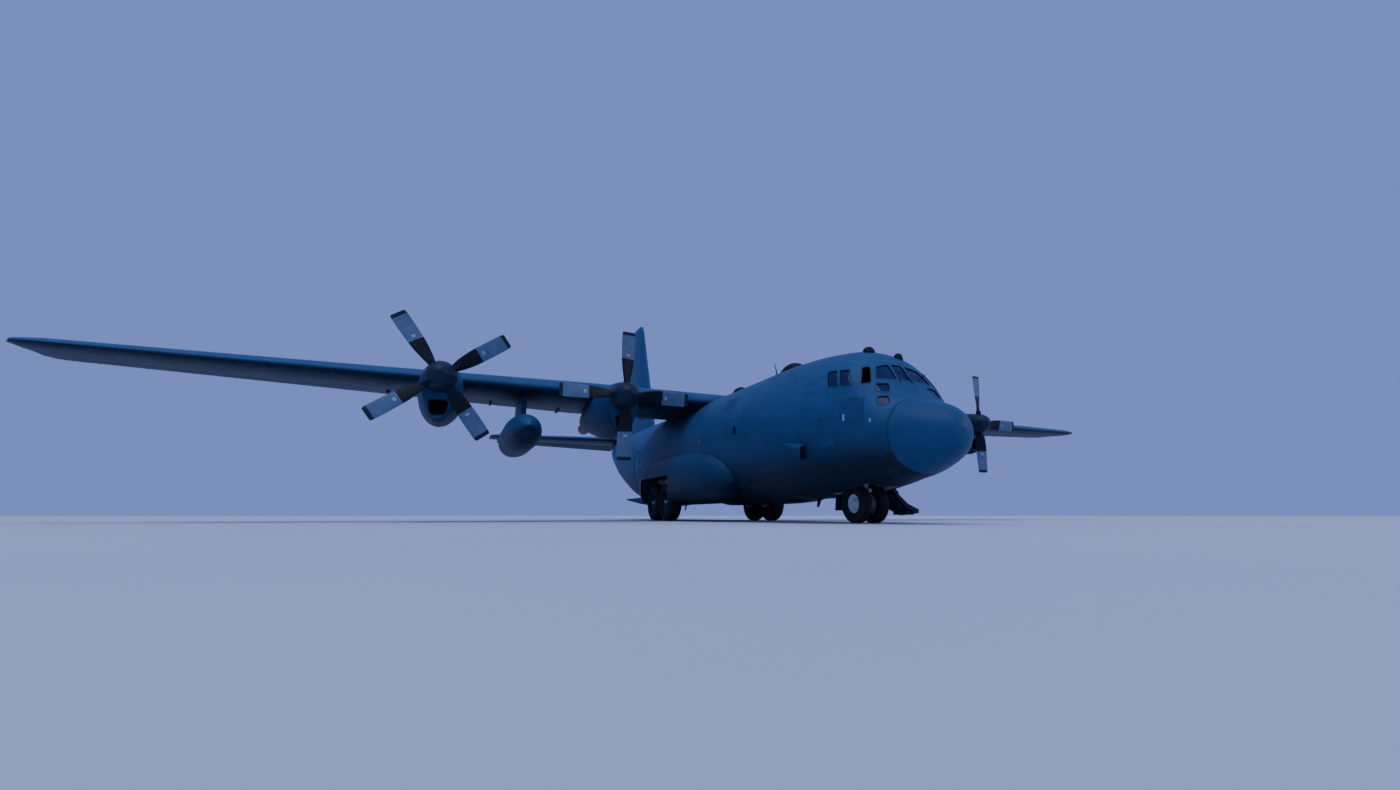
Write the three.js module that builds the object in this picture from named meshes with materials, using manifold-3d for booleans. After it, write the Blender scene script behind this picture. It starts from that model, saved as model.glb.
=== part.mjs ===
// A four-engined military transport plane, parked on its gear, as a half-size model.
// Every size below is in millimetres of the full-size aircraft: x runs to port, y aft from
// the tip of the nose, and z up from the ground. The root's scale brings it to model size.
import * as THREE from "three";
import { mergeVertices } from "three/addons/utils/BufferGeometryUtils.js";
import Module from "manifold-3d";

const wasm = await Module();
wasm.setup();

const MODEL_SCALE = 0.5;
const LENGTH = 29790;
const GAP = 0.8; // between pieces that touch
const PLAY = 14; // round a piece that moves
const FAR = 40000;
const WELD = 1e-3;

const paint = (color, roughness = 0.6, metalness = 0.1) =>
  new THREE.MeshStandardMaterial({ color, roughness, metalness });
const GREY = paint(0x6d7480);
const RADOME_GREY = paint(0x646b76, 0.5, 0);
const METAL = paint(0x9aa0a6, 0.4, 0.8);
const RUBBER = paint(0x16171a, 0.9, 0);
const BLADE = paint(0x8d939c, 0.45, 0.3);
const GLASS = paint(0x10151c, 0.1, 0);
const INNER = paint(0x7c8172, 0.7, 0);

const root = new THREE.Group();
root.scale.setScalar(MODEL_SCALE);
root.position.y = (-LENGTH / 2) * MODEL_SCALE;
const portSide = new THREE.Group();
const starboardSide = new THREE.Group();
starboardSide.scale.x = -1;
root.add(portSide, starboardSide);

// Solids, and what joins and cuts them.

function solid(geometry) {
  const bare = new THREE.BufferGeometry();
  bare.setAttribute("position", geometry.getAttribute("position"));
  bare.setIndex(geometry.index);
  const merged = mergeVertices(bare, WELD);
  const triVerts = new Uint32Array(merged.index.array);
  const vertProperties = merged.attributes.position.array;
  const made = new wasm.Manifold(new wasm.Mesh({ numProp: 3, vertProperties, triVerts }));
  if (made.volume() > 0) return made;
  for (let i = 0; i < triVerts.length; i += 3) {
    [triVerts[i], triVerts[i + 1]] = [triVerts[i + 1], triVerts[i]];
  }
  return new wasm.Manifold(new wasm.Mesh({ numProp: 3, vertProperties, triVerts }));
}

const join = (...solids) => solids.reduce((all, next) => all.add(next));
const cut = (from, ...solids) => solids.reduce((rest, next) => rest.subtract(next), from);
const common = (...solids) => solids.reduce((rest, next) => rest.intersect(next));

function geometryOf(made) {
  const mesh = made.getMesh();
  const geometry = new THREE.BufferGeometry();
  const position = new THREE.BufferAttribute(new Float32Array(mesh.vertProperties), 3);
  geometry.setAttribute("position", position);
  geometry.setIndex(new THREE.BufferAttribute(new Uint32Array(mesh.triVerts), 1));
  return geometry;
}

function addPiece(name, made, material, group = root) {
  const mesh = new THREE.Mesh(geometryOf(made), material);
  mesh.name = name;
  group.add(mesh);
  return mesh;
}

// One piece on each side, the starboard one a mirror image.
function addPair(name, made, material) {
  addPiece(name + "_port", made, material, portSide);
  addPiece(name + "_starboard", made, material, starboardSide);
}

function box(x0, x1, y0, y1, z0, z1) {
  const geometry = new THREE.BoxGeometry(x1 - x0, y1 - y0, z1 - z0);
  geometry.translate((x0 + x1) / 2, (y0 + y1) / 2, (z0 + z1) / 2);
  return solid(geometry);
}

// A round rod, or a cone if its two radii differ, from one point to another.
function rod(from, to, radius, endRadius = radius, sides = 16) {
  const start = new THREE.Vector3(...from);
  const along = new THREE.Vector3(...to).sub(start);
  const geometry = new THREE.CylinderGeometry(endRadius, radius, along.length(), sides);
  geometry.translate(0, along.length() / 2, 0);
  const up = new THREE.Vector3(0, 1, 0);
  geometry.applyQuaternion(new THREE.Quaternion().setFromUnitVectors(up, along.normalize()));
  geometry.translate(start.x, start.y, start.z);
  return solid(geometry);
}

// An outline drawn in the side view (y, z), front view (x, z) or plan (x, y), made as thick as
// from one depth to another across that view.
const VIEW_AXES = {
  side: new THREE.Matrix4().set(0, 0, 1, 0, 1, 0, 0, 0, 0, 1, 0, 0, 0, 0, 0, 1),
  front: new THREE.Matrix4().set(1, 0, 0, 0, 0, 0, 1, 0, 0, 1, 0, 0, 0, 0, 0, 1),
  plan: new THREE.Matrix4(),
};
function prism(view, outline, depthFrom, depthTo) {
  const shape = new THREE.Shape(outline.map(([u, v]) => new THREE.Vector2(u, v)));
  const geometry = new THREE.ExtrudeGeometry(shape, {
    depth: depthTo - depthFrom,
    bevelEnabled: false,
  });
  geometry.translate(0, 0, depthFrom);
  geometry.applyMatrix4(VIEW_AXES[view]);
  return solid(geometry);
}

// A solid of revolution: a profile of (distance along, radius) turned round the y or x axis.
function turned(axis, profile, sides) {
  const points = profile.map(([along, radius]) => new THREE.Vector2(radius, along));
  const geometry = new THREE.LatheGeometry(points, sides);
  if (axis === "x") geometry.rotateZ(-Math.PI / 2);
  return solid(geometry);
}

// A skin through a row of rings of equal count, closed flat at both ends.
function loft(rings) {
  const count = rings[0].length;
  const vertices = rings.flat();
  const faces = [];
  for (let r = 0; r + 1 < rings.length; r++) {
    for (let k = 0; k < count; k++) {
      const a = r * count + k;
      const b = r * count + ((k + 1) % count);
      faces.push(a, b, a + count, b, b + count, a + count);
    }
  }
  [0, rings.length - 1].forEach((r) => {
    const ring = rings[r];
    const middle = [0, 1, 2].map((i) => ring.reduce((sum, p) => sum + p[i], 0) / count);
    const hub = vertices.push(middle) - 1;
    for (let k = 0; k < count; k++) {
      const a = r * count + k;
      const b = r * count + ((k + 1) % count);
      faces.push(...(r === 0 ? [hub, b, a] : [hub, a, b]));
    }
  });
  const geometry = new THREE.BufferGeometry();
  geometry.setAttribute("position", new THREE.Float32BufferAttribute(vertices.flat(), 3));
  geometry.setIndex(faces);
  return solid(geometry);
}

// A ring across the y axis: a superellipse with its own height and roundness above and below
// its waist. An exponent of 2 is an ellipse, and more is squarer.
function ovalRing(y, centre, { half, top, waist, bottom, above, below }, sides) {
  return Array.from({ length: sides }, (_, k) => {
    const angle = (2 * Math.PI * k) / sides;
    const [c, s] = [Math.cos(angle), Math.sin(angle)];
    const power = 2 / (s > 0 ? above : below);
    const rise = s > 0 ? top - waist : waist - bottom;
    const x = centre + half * Math.sign(c) * Math.abs(c) ** power;
    return [x, y, waist + rise * Math.sign(s) * Math.abs(s) ** power];
  });
}

const mix = (a, b, t) => a + (b - a) * t;

// The value of each column of a table at a place along its first column.
function rowAt(table, names, y) {
  const last = table.length - 1;
  const next = Math.min(Math.max(table.findIndex((row) => row[0] >= y), 1), last);
  const place = y > table[last][0] ? last : next;
  const [low, high] = [table[place - 1], table[place]];
  const t = (y - low[0]) / (high[0] - low[0]);
  return Object.fromEntries(names.map((name, i) => [name, mix(low[i + 1], high[i + 1], t)]));
}

// Fuselage. Columns: station, half width, top, waist, bottom, roundness above and below.
const HULL_COLUMNS = ["half", "top", "waist", "bottom", "above", "below"];
const HULL = [
  [0, 16, 2010, 1995, 1980, 2, 2],
  [60, 245, 2230, 2000, 1745, 2, 2],
  [200, 460, 2420, 2000, 1535, 2, 2],
  [450, 690, 2590, 2000, 1365, 2.1, 2.1],
  [800, 890, 2735, 2000, 1225, 2.2, 2.1],
  [1190, 1075, 2850, 2000, 1120, 2.3, 2.2],
  [1330, 1140, 2900, 2020, 1090, 2.4, 2.2],
  [1600, 1290, 3210, 2100, 1050, 3, 2.3],
  [1800, 1390, 3500, 2160, 1020, 2.9, 2.3],
  [2000, 1480, 3780, 2210, 990, 2.7, 2.3],
  [2350, 1615, 4150, 2280, 930, 2.4, 2.4],
  [2800, 1765, 4360, 2360, 870, 2.2, 2.5],
  [3400, 1925, 4480, 2450, 790, 2.05, 2.6],
  [4200, 2040, 4580, 2540, 720, 2, 2.7],
  [5000, 2110, 4630, 2600, 690, 2, 2.8],
  [5890, 2140, 4660, 2660, 680, 2, 2.8],
  [6800, 2140, 4660, 2680, 680, 2, 2.8],
  [17950, 2140, 4780, 2680, 680, 2, 2.8],
  [19050, 2130, 4780, 2750, 930, 2, 3.1],
  [20150, 2090, 4780, 2850, 1340, 2, 3.3],
  [21250, 2030, 4780, 3000, 1790, 2, 3.4],
  [22400, 1910, 4780, 3160, 2250, 2, 3.2],
  [23700, 1720, 4780, 3360, 2760, 2, 2.8],
  [25000, 1480, 4770, 3600, 3230, 2, 2.4],
  [26300, 1190, 4740, 3850, 3580, 2, 2],
  [27600, 850, 4680, 4100, 3860, 2, 2],
  [28800, 480, 4580, 4270, 4090, 2, 2],
  [LENGTH, 140, 4420, 4350, 4280, 2, 2],
];
const HULL_SIDES = 26;
const WALL = 110;
const BELLY_WALL = 70;

function hull(yFrom, yTo, sideInset = 0, bottomInset = sideInset) {
  const between = HULL.map((row) => row[0]).filter((y) => y > yFrom + 1 && y < yTo - 1);
  const rings = [yFrom, ...between, yTo].map((y) => {
    const section = rowAt(HULL, HULL_COLUMNS, y);
    section.half -= sideInset;
    section.top -= sideInset;
    section.bottom += bottomInset;
    return ovalRing(y, 0, section, HULL_SIDES);
  });
  return loft(rings);
}

const RADOME_END = 1190;
const FORWARD_END = 5890;
const CENTRE_END = 17950;
const FLOOR_TOP = 1040;
const FLOOR_THICK = 80;

// Windows. Columns: view they are cut in, then the four corners, on the port side.
const WINDOWS = [
  ["front", [-170, 3400], [170, 3400], [170, 3850], [-170, 3850]],
  ["front", [250, 3400], [830, 3380], [640, 3740], [250, 3840]],
  ["front", [1000, 3250], [1210, 3230], [980, 3700], [780, 3740]],
  ["front", [690, 3020], [1000, 3020], [900, 3230], [560, 3260]],
  ["front", [850, 2680], [1090, 2670], [1030, 2880], [760, 2900]],
  ["side", [2040, 3200], [2330, 3235], [2560, 3690], [2300, 3660]],
  ["side", [2400, 3240], [2690, 3270], [2920, 3720], [2630, 3700]],
];
const FRONT_WINDOW = { from: 1310, to: 2600 };
const SIDE_WINDOW = { from: 900, to: 2500 };
const WINDOW_REACH = 80; // less than from any window's middle to its nearest edge

function windowHole([view, ...corners], grow) {
  const middle = [0, 1].map((i) => corners.reduce((sum, corner) => sum + corner[i], 0) / 4);
  const scale = 1 + grow / WINDOW_REACH;
  const outline = corners.map((corner) => corner.map((value, i) => mix(middle[i], value, scale)));
  const { from, to } = view === "front" ? FRONT_WINDOW : SIDE_WINDOW;
  return prism(view, outline, from, to);
}
const mirrored = (made) => solid(geometryOf(made).scale(-1, 1, 1));
const windowHoles = (grow) => {
  const holes = WINDOWS.map((row) => windowHole(row, grow));
  return [...holes, ...holes.slice(1).map(mirrored)];
};

// Crew door: cut from the port wall, hinged along its sill, and standing open in the model.
const DOOR = { from: 4150, to: 4910, sill: 950, head: 1960, hinge: [1404, 942], swing: 95 };
// Nose gear bay, and the wheel wells in the sponsons.
const BAY = { half: 630, from: 2550, to: 4110, roof: 1800 };
const WELL = { inside: 1600, from: 11550, to: 15000, roof: 1630 };
// Ramp and cargo door, drawn shut in the upswept belly.
const RAMP = { half: 1500, to: 21230, sillGap: 40, hinge: [CENTRE_END + 50, 725], open: 16 };
const CARGO_DOOR = { from: 21290, to: 25300, halfFrom: 1440, halfTo: 880, thick: 90, raise: 28 };
CARGO_DOOR.hinge = [CARGO_DOOR.to - 30, 3350];

const doorZone = (grow) =>
  box(900, 2600, DOOR.from - grow, DOOR.to + grow, DOOR.sill - grow, DOOR.head + grow);

function forwardFuselage() {
  const shell = cut(
    hull(RADOME_END + GAP, FORWARD_END - GAP),
    hull(RADOME_END + WALL, FORWARD_END + WALL, WALL, BELLY_WALL),
  );
  const bay = box(-BAY.half, BAY.half, BAY.from, BAY.to, 0, 1300);
  return cut(shell, ...windowHoles(0), bay, doorZone(PLAY));
}

// The panes fill the window holes from behind, held by a liner inside the wall.
const PANE_DEPTH = 40;
const LINER = { thick: 25, from: 1330, to: 3400, lowHalf: 640, lowTop: 2960 };
const LINER_OUTLINE = [
  [1360, 2600],
  [1900, 2600],
  [1960, 3120],
  [2980, 3120],
  [3060, 3820],
  [2500, 3980],
  [1700, 3980],
];
function glazing() {
  const inset = WALL + GAP + LINER.thick;
  const inside = hull(LINER.from, LINER.to, WALL + GAP);
  const hollow = hull(RADOME_END, LINER.to + WALL, inset);
  const liner = common(cut(inside, hollow), prism("side", LINER_OUTLINE, -2000, 2000));
  const panes = common(hull(RADOME_END, LINER.to, PANE_DEPTH), join(...windowHoles(-GAP)));
  const belowTheScreen = box(-LINER.lowHalf, LINER.lowHalf, 0, LINER.to, 0, LINER.lowTop);
  return cut(join(liner, cut(panes, hollow)), belowTheScreen);
}

// Wing. Columns: distance from the middle, leading edge, chord, height, thickness share.
const WING_COLUMNS = ["lead", "chord", "height", "thick"];
const WING = [
  [0, 11150, 4880, 4430, 0.18],
  [5590, 11150, 4880, 4430, 0.18],
  [12600, 11300, 3670, 4480, 0.155],
  [19600, 11450, 2440, 4530, 0.125],
  [20050, 11570, 2150, 4535, 0.1],
  [20205, 11900, 1500, 4540, 0.05],
];
const WING_JOINT = 5590;
const WING_TIP = 20205;
const CAMBER = 0.02;
const SECTION_STEPS = 9;

// Half the section's thickness and its middle height, as shares of the chord.
const halfThickness = (u, thick) =>
  5 * thick * (0.2969 * Math.sqrt(u) - 0.126 * u - 0.3516 * u ** 2 + 0.2843 * u ** 3 - 0.1 * u ** 4);
const camberLine = (u, camber) => 4 * camber * u * (1 - u);

// A wing section as a ring of points, from the trailing edge over the top and back below.
function sectionPoints(thick, camber) {
  const places = Array.from({ length: 2 * SECTION_STEPS }, (_, k) => {
    const turn = (Math.PI * k) / SECTION_STEPS;
    return [(1 + Math.cos(turn)) / 2, turn <= Math.PI ? 1 : -1];
  });
  return places.map(([u, side]) => [
    u,
    camberLine(u, camber) + side * Math.max(halfThickness(u, thick), u > 0 ? 0.002 : 0),
  ]);
}

function wingRing(x, { lead, chord, height, thick }, camber) {
  return sectionPoints(thick, camber).map(([u, v]) => [x, lead + u * chord, height + v * chord]);
}

function spanPiece(table, from, to, camber) {
  const between = table.map((row) => row[0]).filter((x) => x > from + 1 && x < to - 1);
  return loft(
    [from, ...between, to].map((x) =>
      wingRing(x, rowAt(table, WING_COLUMNS, Math.abs(x)), camber),
    ),
  );
}

const CONTROL_HINGE = 0.75; // share of the chord
const LIP = 4; // how far the rounded nose stays under the skin

// The line at a share of the chord between two places of a span table, with the radii there.
function hingeLine(table, from, to, share, camber) {
  const [a, b] = [from, to].map((x) => {
    const row = rowAt(table, WING_COLUMNS, x);
    const z = row.height + camberLine(share, camber) * row.chord;
    const radius = halfThickness(share, row.thick) * row.chord - LIP;
    return { x, y: row.lead + share * row.chord, z, radius };
  });
  return [a, b];
}

// Splits a half wing or half tailplane into its fixed part and its moving surface.
function splitSurface(form, [a, b]) {
  const behind = (grow) =>
    prism(
      "plan",
      [[a.x - grow, a.y], [b.x + grow, b.y], [b.x + grow, FAR], [a.x - grow, FAR]],
      0,
      9000,
    );
  const slope = (value, x) => mix(a[value], b[value], (x - a.x) / (b.x - a.x));
  const noseFrom = (grow, more) => {
    const ends = [a.x - more, b.x + more];
    return rod(
      ...ends.map((x) => [x, slope("y", x), slope("z", x)]),
      ...ends.map((x) => slope("radius", x) + grow),
      20,
    );
  };
  const slab = (grow) => box(a.x - grow, b.x + grow, 0, FAR, 0, 9000);
  const moving = common(form, join(behind(0), common(noseFrom(0, PLAY), slab(0))));
  const fixed = cut(form, behind(PLAY), common(noseFrom(PLAY, 4 * PLAY), slab(PLAY)));
  return { fixed, moving };
}

const FLAP_SHARE = 0.745;
const FLAP_GAP = 8;
const INNER_FLAP = [2350, WING_JOINT - 50];
const OUTER_FLAP = [WING_JOINT + 50, 13300];
const AILERON = [13400, 19450];

// The zone behind the flap's front edge between two places along the span.
function flapZone([from, to], grow) {
  const edge = (x) => {
    const row = rowAt(WING, WING_COLUMNS, x);
    return row.lead + FLAP_SHARE * row.chord - grow;
  };
  const outline = [[from - grow, edge(from)], [to + grow, edge(to)]];
  return prism("plan", [...outline, [to + grow, FAR], [from - grow, FAR]], 3000, 6000);
}

const wingForm = spanPiece(WING, -WING_JOINT, WING_JOINT, CAMBER);
const outerForm = spanPiece(WING, WING_JOINT + GAP, WING_TIP, CAMBER);
const innerCut = flapZone(INNER_FLAP, FLAP_GAP);
addPiece("wing_centre", cut(wingForm, innerCut, mirrored(innerCut)), GREY);
addPair("flap_inner", common(wingForm, flapZone(INNER_FLAP, 0)), GREY);
addPair("flap_outer", common(outerForm, flapZone(OUTER_FLAP, 0)), GREY);
const aileronLine = hingeLine(WING, ...AILERON, CONTROL_HINGE, CAMBER);
const outerWing = splitSurface(cut(outerForm, flapZone(OUTER_FLAP, FLAP_GAP)), aileronLine);
addPair("wing_outer", outerWing.fixed, GREY);
addPair("aileron", outerWing.moving, GREY);

// A whole span swollen by the gap, to cut what meets it.
function grownSpan(table, tip, camber) {
  const grown = table.map(([x, lead, chord, height, thick]) => [
    x,
    lead - GAP,
    chord + 2 * GAP,
    height,
    thick + (3 * GAP) / chord,
  ]);
  const half = spanPiece(grown, -GAP, tip, camber);
  return join(half, mirrored(half));
}
const grownWing = grownSpan(WING, WING_TIP, CAMBER);

// Fuselage shells.
addPiece("radome", cut(hull(0, RADOME_END), hull(250, RADOME_END + 60, 45)), RADOME_GREY);
addPiece("fuselage_forward", forwardFuselage(), GREY);
addPiece("flight_deck_glazing", glazing(), GLASS);

const wellCut = box(WELL.inside, 3000, WELL.from, WELL.to, 0, WELL.roof);
const centreShell = cut(
  hull(FORWARD_END + GAP, CENTRE_END - GAP),
  hull(FORWARD_END - WALL, CENTRE_END + WALL, WALL, BELLY_WALL),
  grownWing,
  wellCut,
  mirrored(wellCut),
);
// A side door behind each gear fairing, shut.
const SIDE_DOOR = { from: 17000, to: 17880, sill: 1160, head: 3000, gap: 10 };
const sideDoorZone = (grow) =>
  box(
    1500,
    2500,
    SIDE_DOOR.from - grow,
    SIDE_DOOR.to + grow,
    SIDE_DOOR.sill - grow,
    SIDE_DOOR.head + grow,
  );
const doorway = sideDoorZone(SIDE_DOOR.gap);
addPiece("fuselage_centre", cut(centreShell, doorway, mirrored(doorway)), GREY);
addPair("side_door", common(centreShell, sideDoorZone(0)), GREY);

// Inside the hull, beside the hold: a box over each wheel well.
const insideHull = hull(FORWARD_END, CENTRE_END, WALL + GAP, BELLY_WALL + GAP);
const WELL_WALL = 35;
const wellLiner = cut(
  common(
    insideHull,
    box(
      WELL.inside - WELL_WALL,
      3000,
      WELL.from - WELL_WALL,
      WELL.to + WELL_WALL,
      FLOOR_TOP + GAP,
      WELL.roof + WELL_WALL,
    ),
  ),
  box(WELL.inside, 3000, WELL.from, WELL.to, 0, WELL.roof),
);
addPair("wheel_well_liner", wellLiner, INNER);

// The aft shell is open below for the ramp and cargo door, and its tail cone is solid.
const openingOutline = [
  [RAMP.half, CENTRE_END - 10],
  [RAMP.half, RAMP.to],
  [CARGO_DOOR.halfTo + 60, CARGO_DOOR.to + 60],
  [-CARGO_DOOR.halfTo - 60, CARGO_DOOR.to + 60],
  [-RAMP.half, RAMP.to],
  [-RAMP.half, CENTRE_END - 10],
];
const TAIL_BULKHEAD = 28300;
const AFT_WALL = 90;

// Tailplane. Columns as the wing's.
const TAIL = [
  [0, 25250, 3950, 4620, 0.115],
  [7700, 26500, 2050, 4620, 0.11],
  [7950, 26640, 1800, 4620, 0.09],
  [8025, 26900, 1300, 4620, 0.04],
];
const TAIL_SPAN = 8025;
const ELEVATOR = [620, 7560];
const ELEVATOR_SHARE = 0.66;
const ELEVATOR_DROOP = 15; // parked, each one hangs on its lower stop
const tailForm = spanPiece(TAIL, 0, TAIL_SPAN, 0);
const elevatorLine = hingeLine(TAIL, ...ELEVATOR, ELEVATOR_SHARE, 0);
const tailHalf = splitSurface(tailForm, elevatorLine);
const SKIN_SHARE = 0.14; // of a tail surface's thickness, on each face
const tailInner = common(
  solid(
    geometryOf(tailForm)
      .translate(0, 0, -TAIL[0][3])
      .scale(1, 1, 1 - 2 * SKIN_SHARE)
      .translate(0, 0, TAIL[0][3]),
  ),
  prism("plan", [[0, 25450], [7400, 26600], [7400, 27500], [0, 27500]], 4000, 5500),
);
const tailHalfShell = cut(tailHalf.fixed, tailInner);
const tailHole = box(-150, 150, 26200, 26600, 4200, TAIL[0][3]);
addPiece("tailplane", cut(join(tailHalfShell, mirrored(tailHalfShell)), tailHole), GREY);
const elevatorPivot = [(elevatorLine[0].y + elevatorLine[1].y) / 2, TAIL[0][3]];
addPair("elevator", turnedAboutX(tailHalf.moving, -ELEVATOR_DROOP, elevatorPivot), GREY);

const grownTail = grownSpan(TAIL, TAIL_SPAN, 0);
const aftShell = cut(
  hull(CENTRE_END + GAP, LENGTH),
  hull(CENTRE_END - WALL, TAIL_BULKHEAD, AFT_WALL, BELLY_WALL),
  prism("plan", openingOutline, 0, 4000),
  grownTail,
);
addPiece("fuselage_aft", aftShell, GREY);

// Fin and rudder. Columns: height, leading edge, chord, thickness share.
const FIN = [
  [4500, 21680, 6520, 0.1],
  [5600, 22140, 6000, 0.1],
  [11300, 24540, 2900, 0.1],
  [11560, 24760, 2560, 0.08],
  [11660, 25150, 1900, 0.04],
];
const RUDDER = { bottom: 5800, top: 11230, share: 0.66 };
const finRow = (z) => rowAt(FIN, ["lead", "chord", "thick"], z);
function finPiece(from, to, grow = 0) {
  const between = FIN.map((row) => row[0]).filter((z) => z > from + 1 && z < to - 1);
  return loft(
    [from, ...between, to].map((z) => {
      const { lead, chord, thick } = finRow(z);
      return sectionPoints(thick, 0).map(([u, v]) => [v * chord, lead + u * chord + grow, z]);
    }),
  );
}
const finForm = finPiece(4500, 11660);
const rudderEnds = [RUDDER.bottom, RUDDER.top].map((z) => {
  const { lead, chord, thick } = finRow(z);
  const radius = halfThickness(RUDDER.share, thick) * chord - LIP;
  return { y: lead + RUDDER.share * chord, z, radius };
});
function rudderZone(grow) {
  const [low, high] = rudderEnds;
  const outline = [
    [low.y, low.z - grow],
    [high.y, high.z + grow],
    [FAR, high.z + grow],
    [FAR, low.z - grow],
  ];
  return prism("side", outline, -1000, 1000);
}
function rudderNose(grow) {
  const [low, high] = rudderEnds;
  const lean = (high.y - low.y) / (high.z - low.z);
  const taper = (high.radius - low.radius) / (high.z - low.z);
  const at = (z) => [0, low.y + lean * (z - low.z), z];
  const radiusAt = (z) => low.radius + taper * (z - low.z) + grow;
  const ends = [RUDDER.bottom - 100, RUDDER.top + 100];
  const nose = rod(...ends.map(at), ...ends.map(radiusAt), 20);
  return common(nose, box(-1000, 1000, 0, FAR, RUDDER.bottom - grow, RUDDER.top + grow));
}
addPiece("rudder", common(finForm, join(rudderZone(0), rudderNose(0))), GREY);
const finInner = common(
  solid(geometryOf(finForm).scale(1 - 2 * SKIN_SHARE, 1, 1)),
  prism("side", [[22100, 4400], [24800, 11200], [26000, 11200], [25700, 4400]], -1000, 1000),
);
const fin = cut(
  finForm,
  finInner,
  rudderZone(PLAY),
  rudderNose(PLAY),
  hull(CENTRE_END, LENGTH, -GAP),
  grownTail,
  box(-1000, 1000, 20000, FAR, 3000, 4600),
);
addPiece("fin", fin, GREY);

// Ramp and cargo door. Each is the belly's own skin, cut out shut, then turned to where it
// stands: the ramp level, and the cargo door raised inside the tail.
function turnedAboutX(made, degrees, [y, z]) {
  const geometry = geometryOf(made);
  geometry.translate(0, -y, -z);
  geometry.rotateX(THREE.MathUtils.degToRad(degrees));
  geometry.translate(0, y, z);
  return solid(geometry);
}
const bellySkin = hull(CENTRE_END, LENGTH);
const rampSlope = Math.tan(THREE.MathUtils.degToRad(RAMP.open));
const rampTop = FLOOR_TOP + rampSlope * (RAMP.to - CENTRE_END);
const rampOutline = [[CENTRE_END, 0], [RAMP.to, 0], [RAMP.to, rampTop], [CENTRE_END, FLOOR_TOP]];
const rampShut = common(
  bellySkin,
  box(-RAMP.half + PLAY, RAMP.half - PLAY, CENTRE_END + RAMP.sillGap, RAMP.to, 0, 4000),
  prism("side", rampOutline, -2000, 2000),
);
addPiece("ramp", turnedAboutX(rampShut, -RAMP.open, RAMP.hinge), GREY);

const doorOutline = [
  [CARGO_DOOR.halfFrom, CARGO_DOOR.from],
  [CARGO_DOOR.halfTo, CARGO_DOOR.to],
  [-CARGO_DOOR.halfTo, CARGO_DOOR.to],
  [-CARGO_DOOR.halfFrom, CARGO_DOOR.from],
];
const doorShut = common(
  cut(bellySkin, hull(CENTRE_END - WALL, LENGTH, CARGO_DOOR.thick)),
  prism("plan", doorOutline, 0, 3450),
);
addPiece("cargo_door", turnedAboutX(doorShut, -CARGO_DOOR.raise, CARGO_DOOR.hinge), GREY);

// Floors: a plate the width of the hull inside, for the hold and for the flight deck.
const holdFloor = common(
  insideHull,
  box(-2000, 2000, FORWARD_END + 300, CENTRE_END - 40, FLOOR_TOP - FLOOR_THICK, FLOOR_TOP),
);
addPiece("cargo_floor", holdFloor, INNER);
const DECK = { from: 1650, to: 5300, top: 2420, thick: 70 };
const deckHull = hull(RADOME_END + WALL, FORWARD_END, WALL + GAP, BELLY_WALL + GAP);
const deckPlate = box(-2000, 2000, DECK.from, DECK.to, DECK.top - DECK.thick, DECK.top);
addPiece("flight_deck_floor", common(deckHull, deckPlate), INNER);

// Nose gear bay: a box let into the belly, open below.
const BAY_WALL = 30;
const bayBox = cut(
  box(
    -BAY.half + GAP,
    BAY.half - GAP,
    BAY.from + GAP,
    BAY.to - GAP,
    700,
    BAY.roof,
  ),
  box(
    -BAY.half + BAY_WALL,
    BAY.half - BAY_WALL,
    BAY.from + BAY_WALL,
    BAY.to - BAY_WALL,
    0,
    BAY.roof - BAY_WALL,
  ),
);
addPiece("nose_gear_bay", common(bayBox, hull(2000, 5000, GAP)), INNER);
const BAY_DOOR = [[4180, 780], [4210, 780], [4270, 330], [4240, 330]];
const bayDoor = cut(prism("side", BAY_DOOR, -400, 400), hull(3800, 5000, -GAP));
addPiece("nose_gear_door", bayDoor, GREY);

// Crew door, with three treads on its inner face.
const TREAD_DEEP = 250;
const TREAD_INSET = 90;
// Treads. Columns: inboard edge, top, bottom.
const TREADS = [
  [1500, 880, 640],
  [1750, 600, 400],
  [2010, 370, 220],
];
function turnedAboutY(made, degrees, [x, z]) {
  const geometry = geometryOf(made);
  geometry.translate(-x, 0, -z);
  geometry.rotateY(THREE.MathUtils.degToRad(degrees));
  geometry.translate(x, 0, z);
  return solid(geometry);
}
const doorSkin = common(
  cut(hull(3800, 5300), hull(3700, 5400, WALL, BELLY_WALL)),
  doorZone(0),
);
// The sill's inner edge is trimmed, or it would stand in the doorway when the door is open.
const sillEdge = box(0, 1290, DOOR.from, DOOR.to, 0, 1200);
const doorOpen = turnedAboutY(cut(doorSkin, sillEdge), DOOR.swing, DOOR.hinge);
const treads = TREADS.map(([x, top, bottom]) =>
  box(x, x + TREAD_DEEP, DOOR.from + TREAD_INSET, DOOR.to - TREAD_INSET, bottom, top),
);
addPiece("crew_door", join(doorOpen, ...treads), GREY);

// Engines, one row each. Columns: name, x, axis height, blade angle in radians from upright.
const ENGINES = [
  ["outer_starboard", -10230, 4010, -0.634],
  ["inner_starboard", -4970, 3920, 0.004],
  ["inner_port", 4970, 3920, 0.35],
  ["outer_port", 10230, 4010, 0.001],
];
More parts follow.
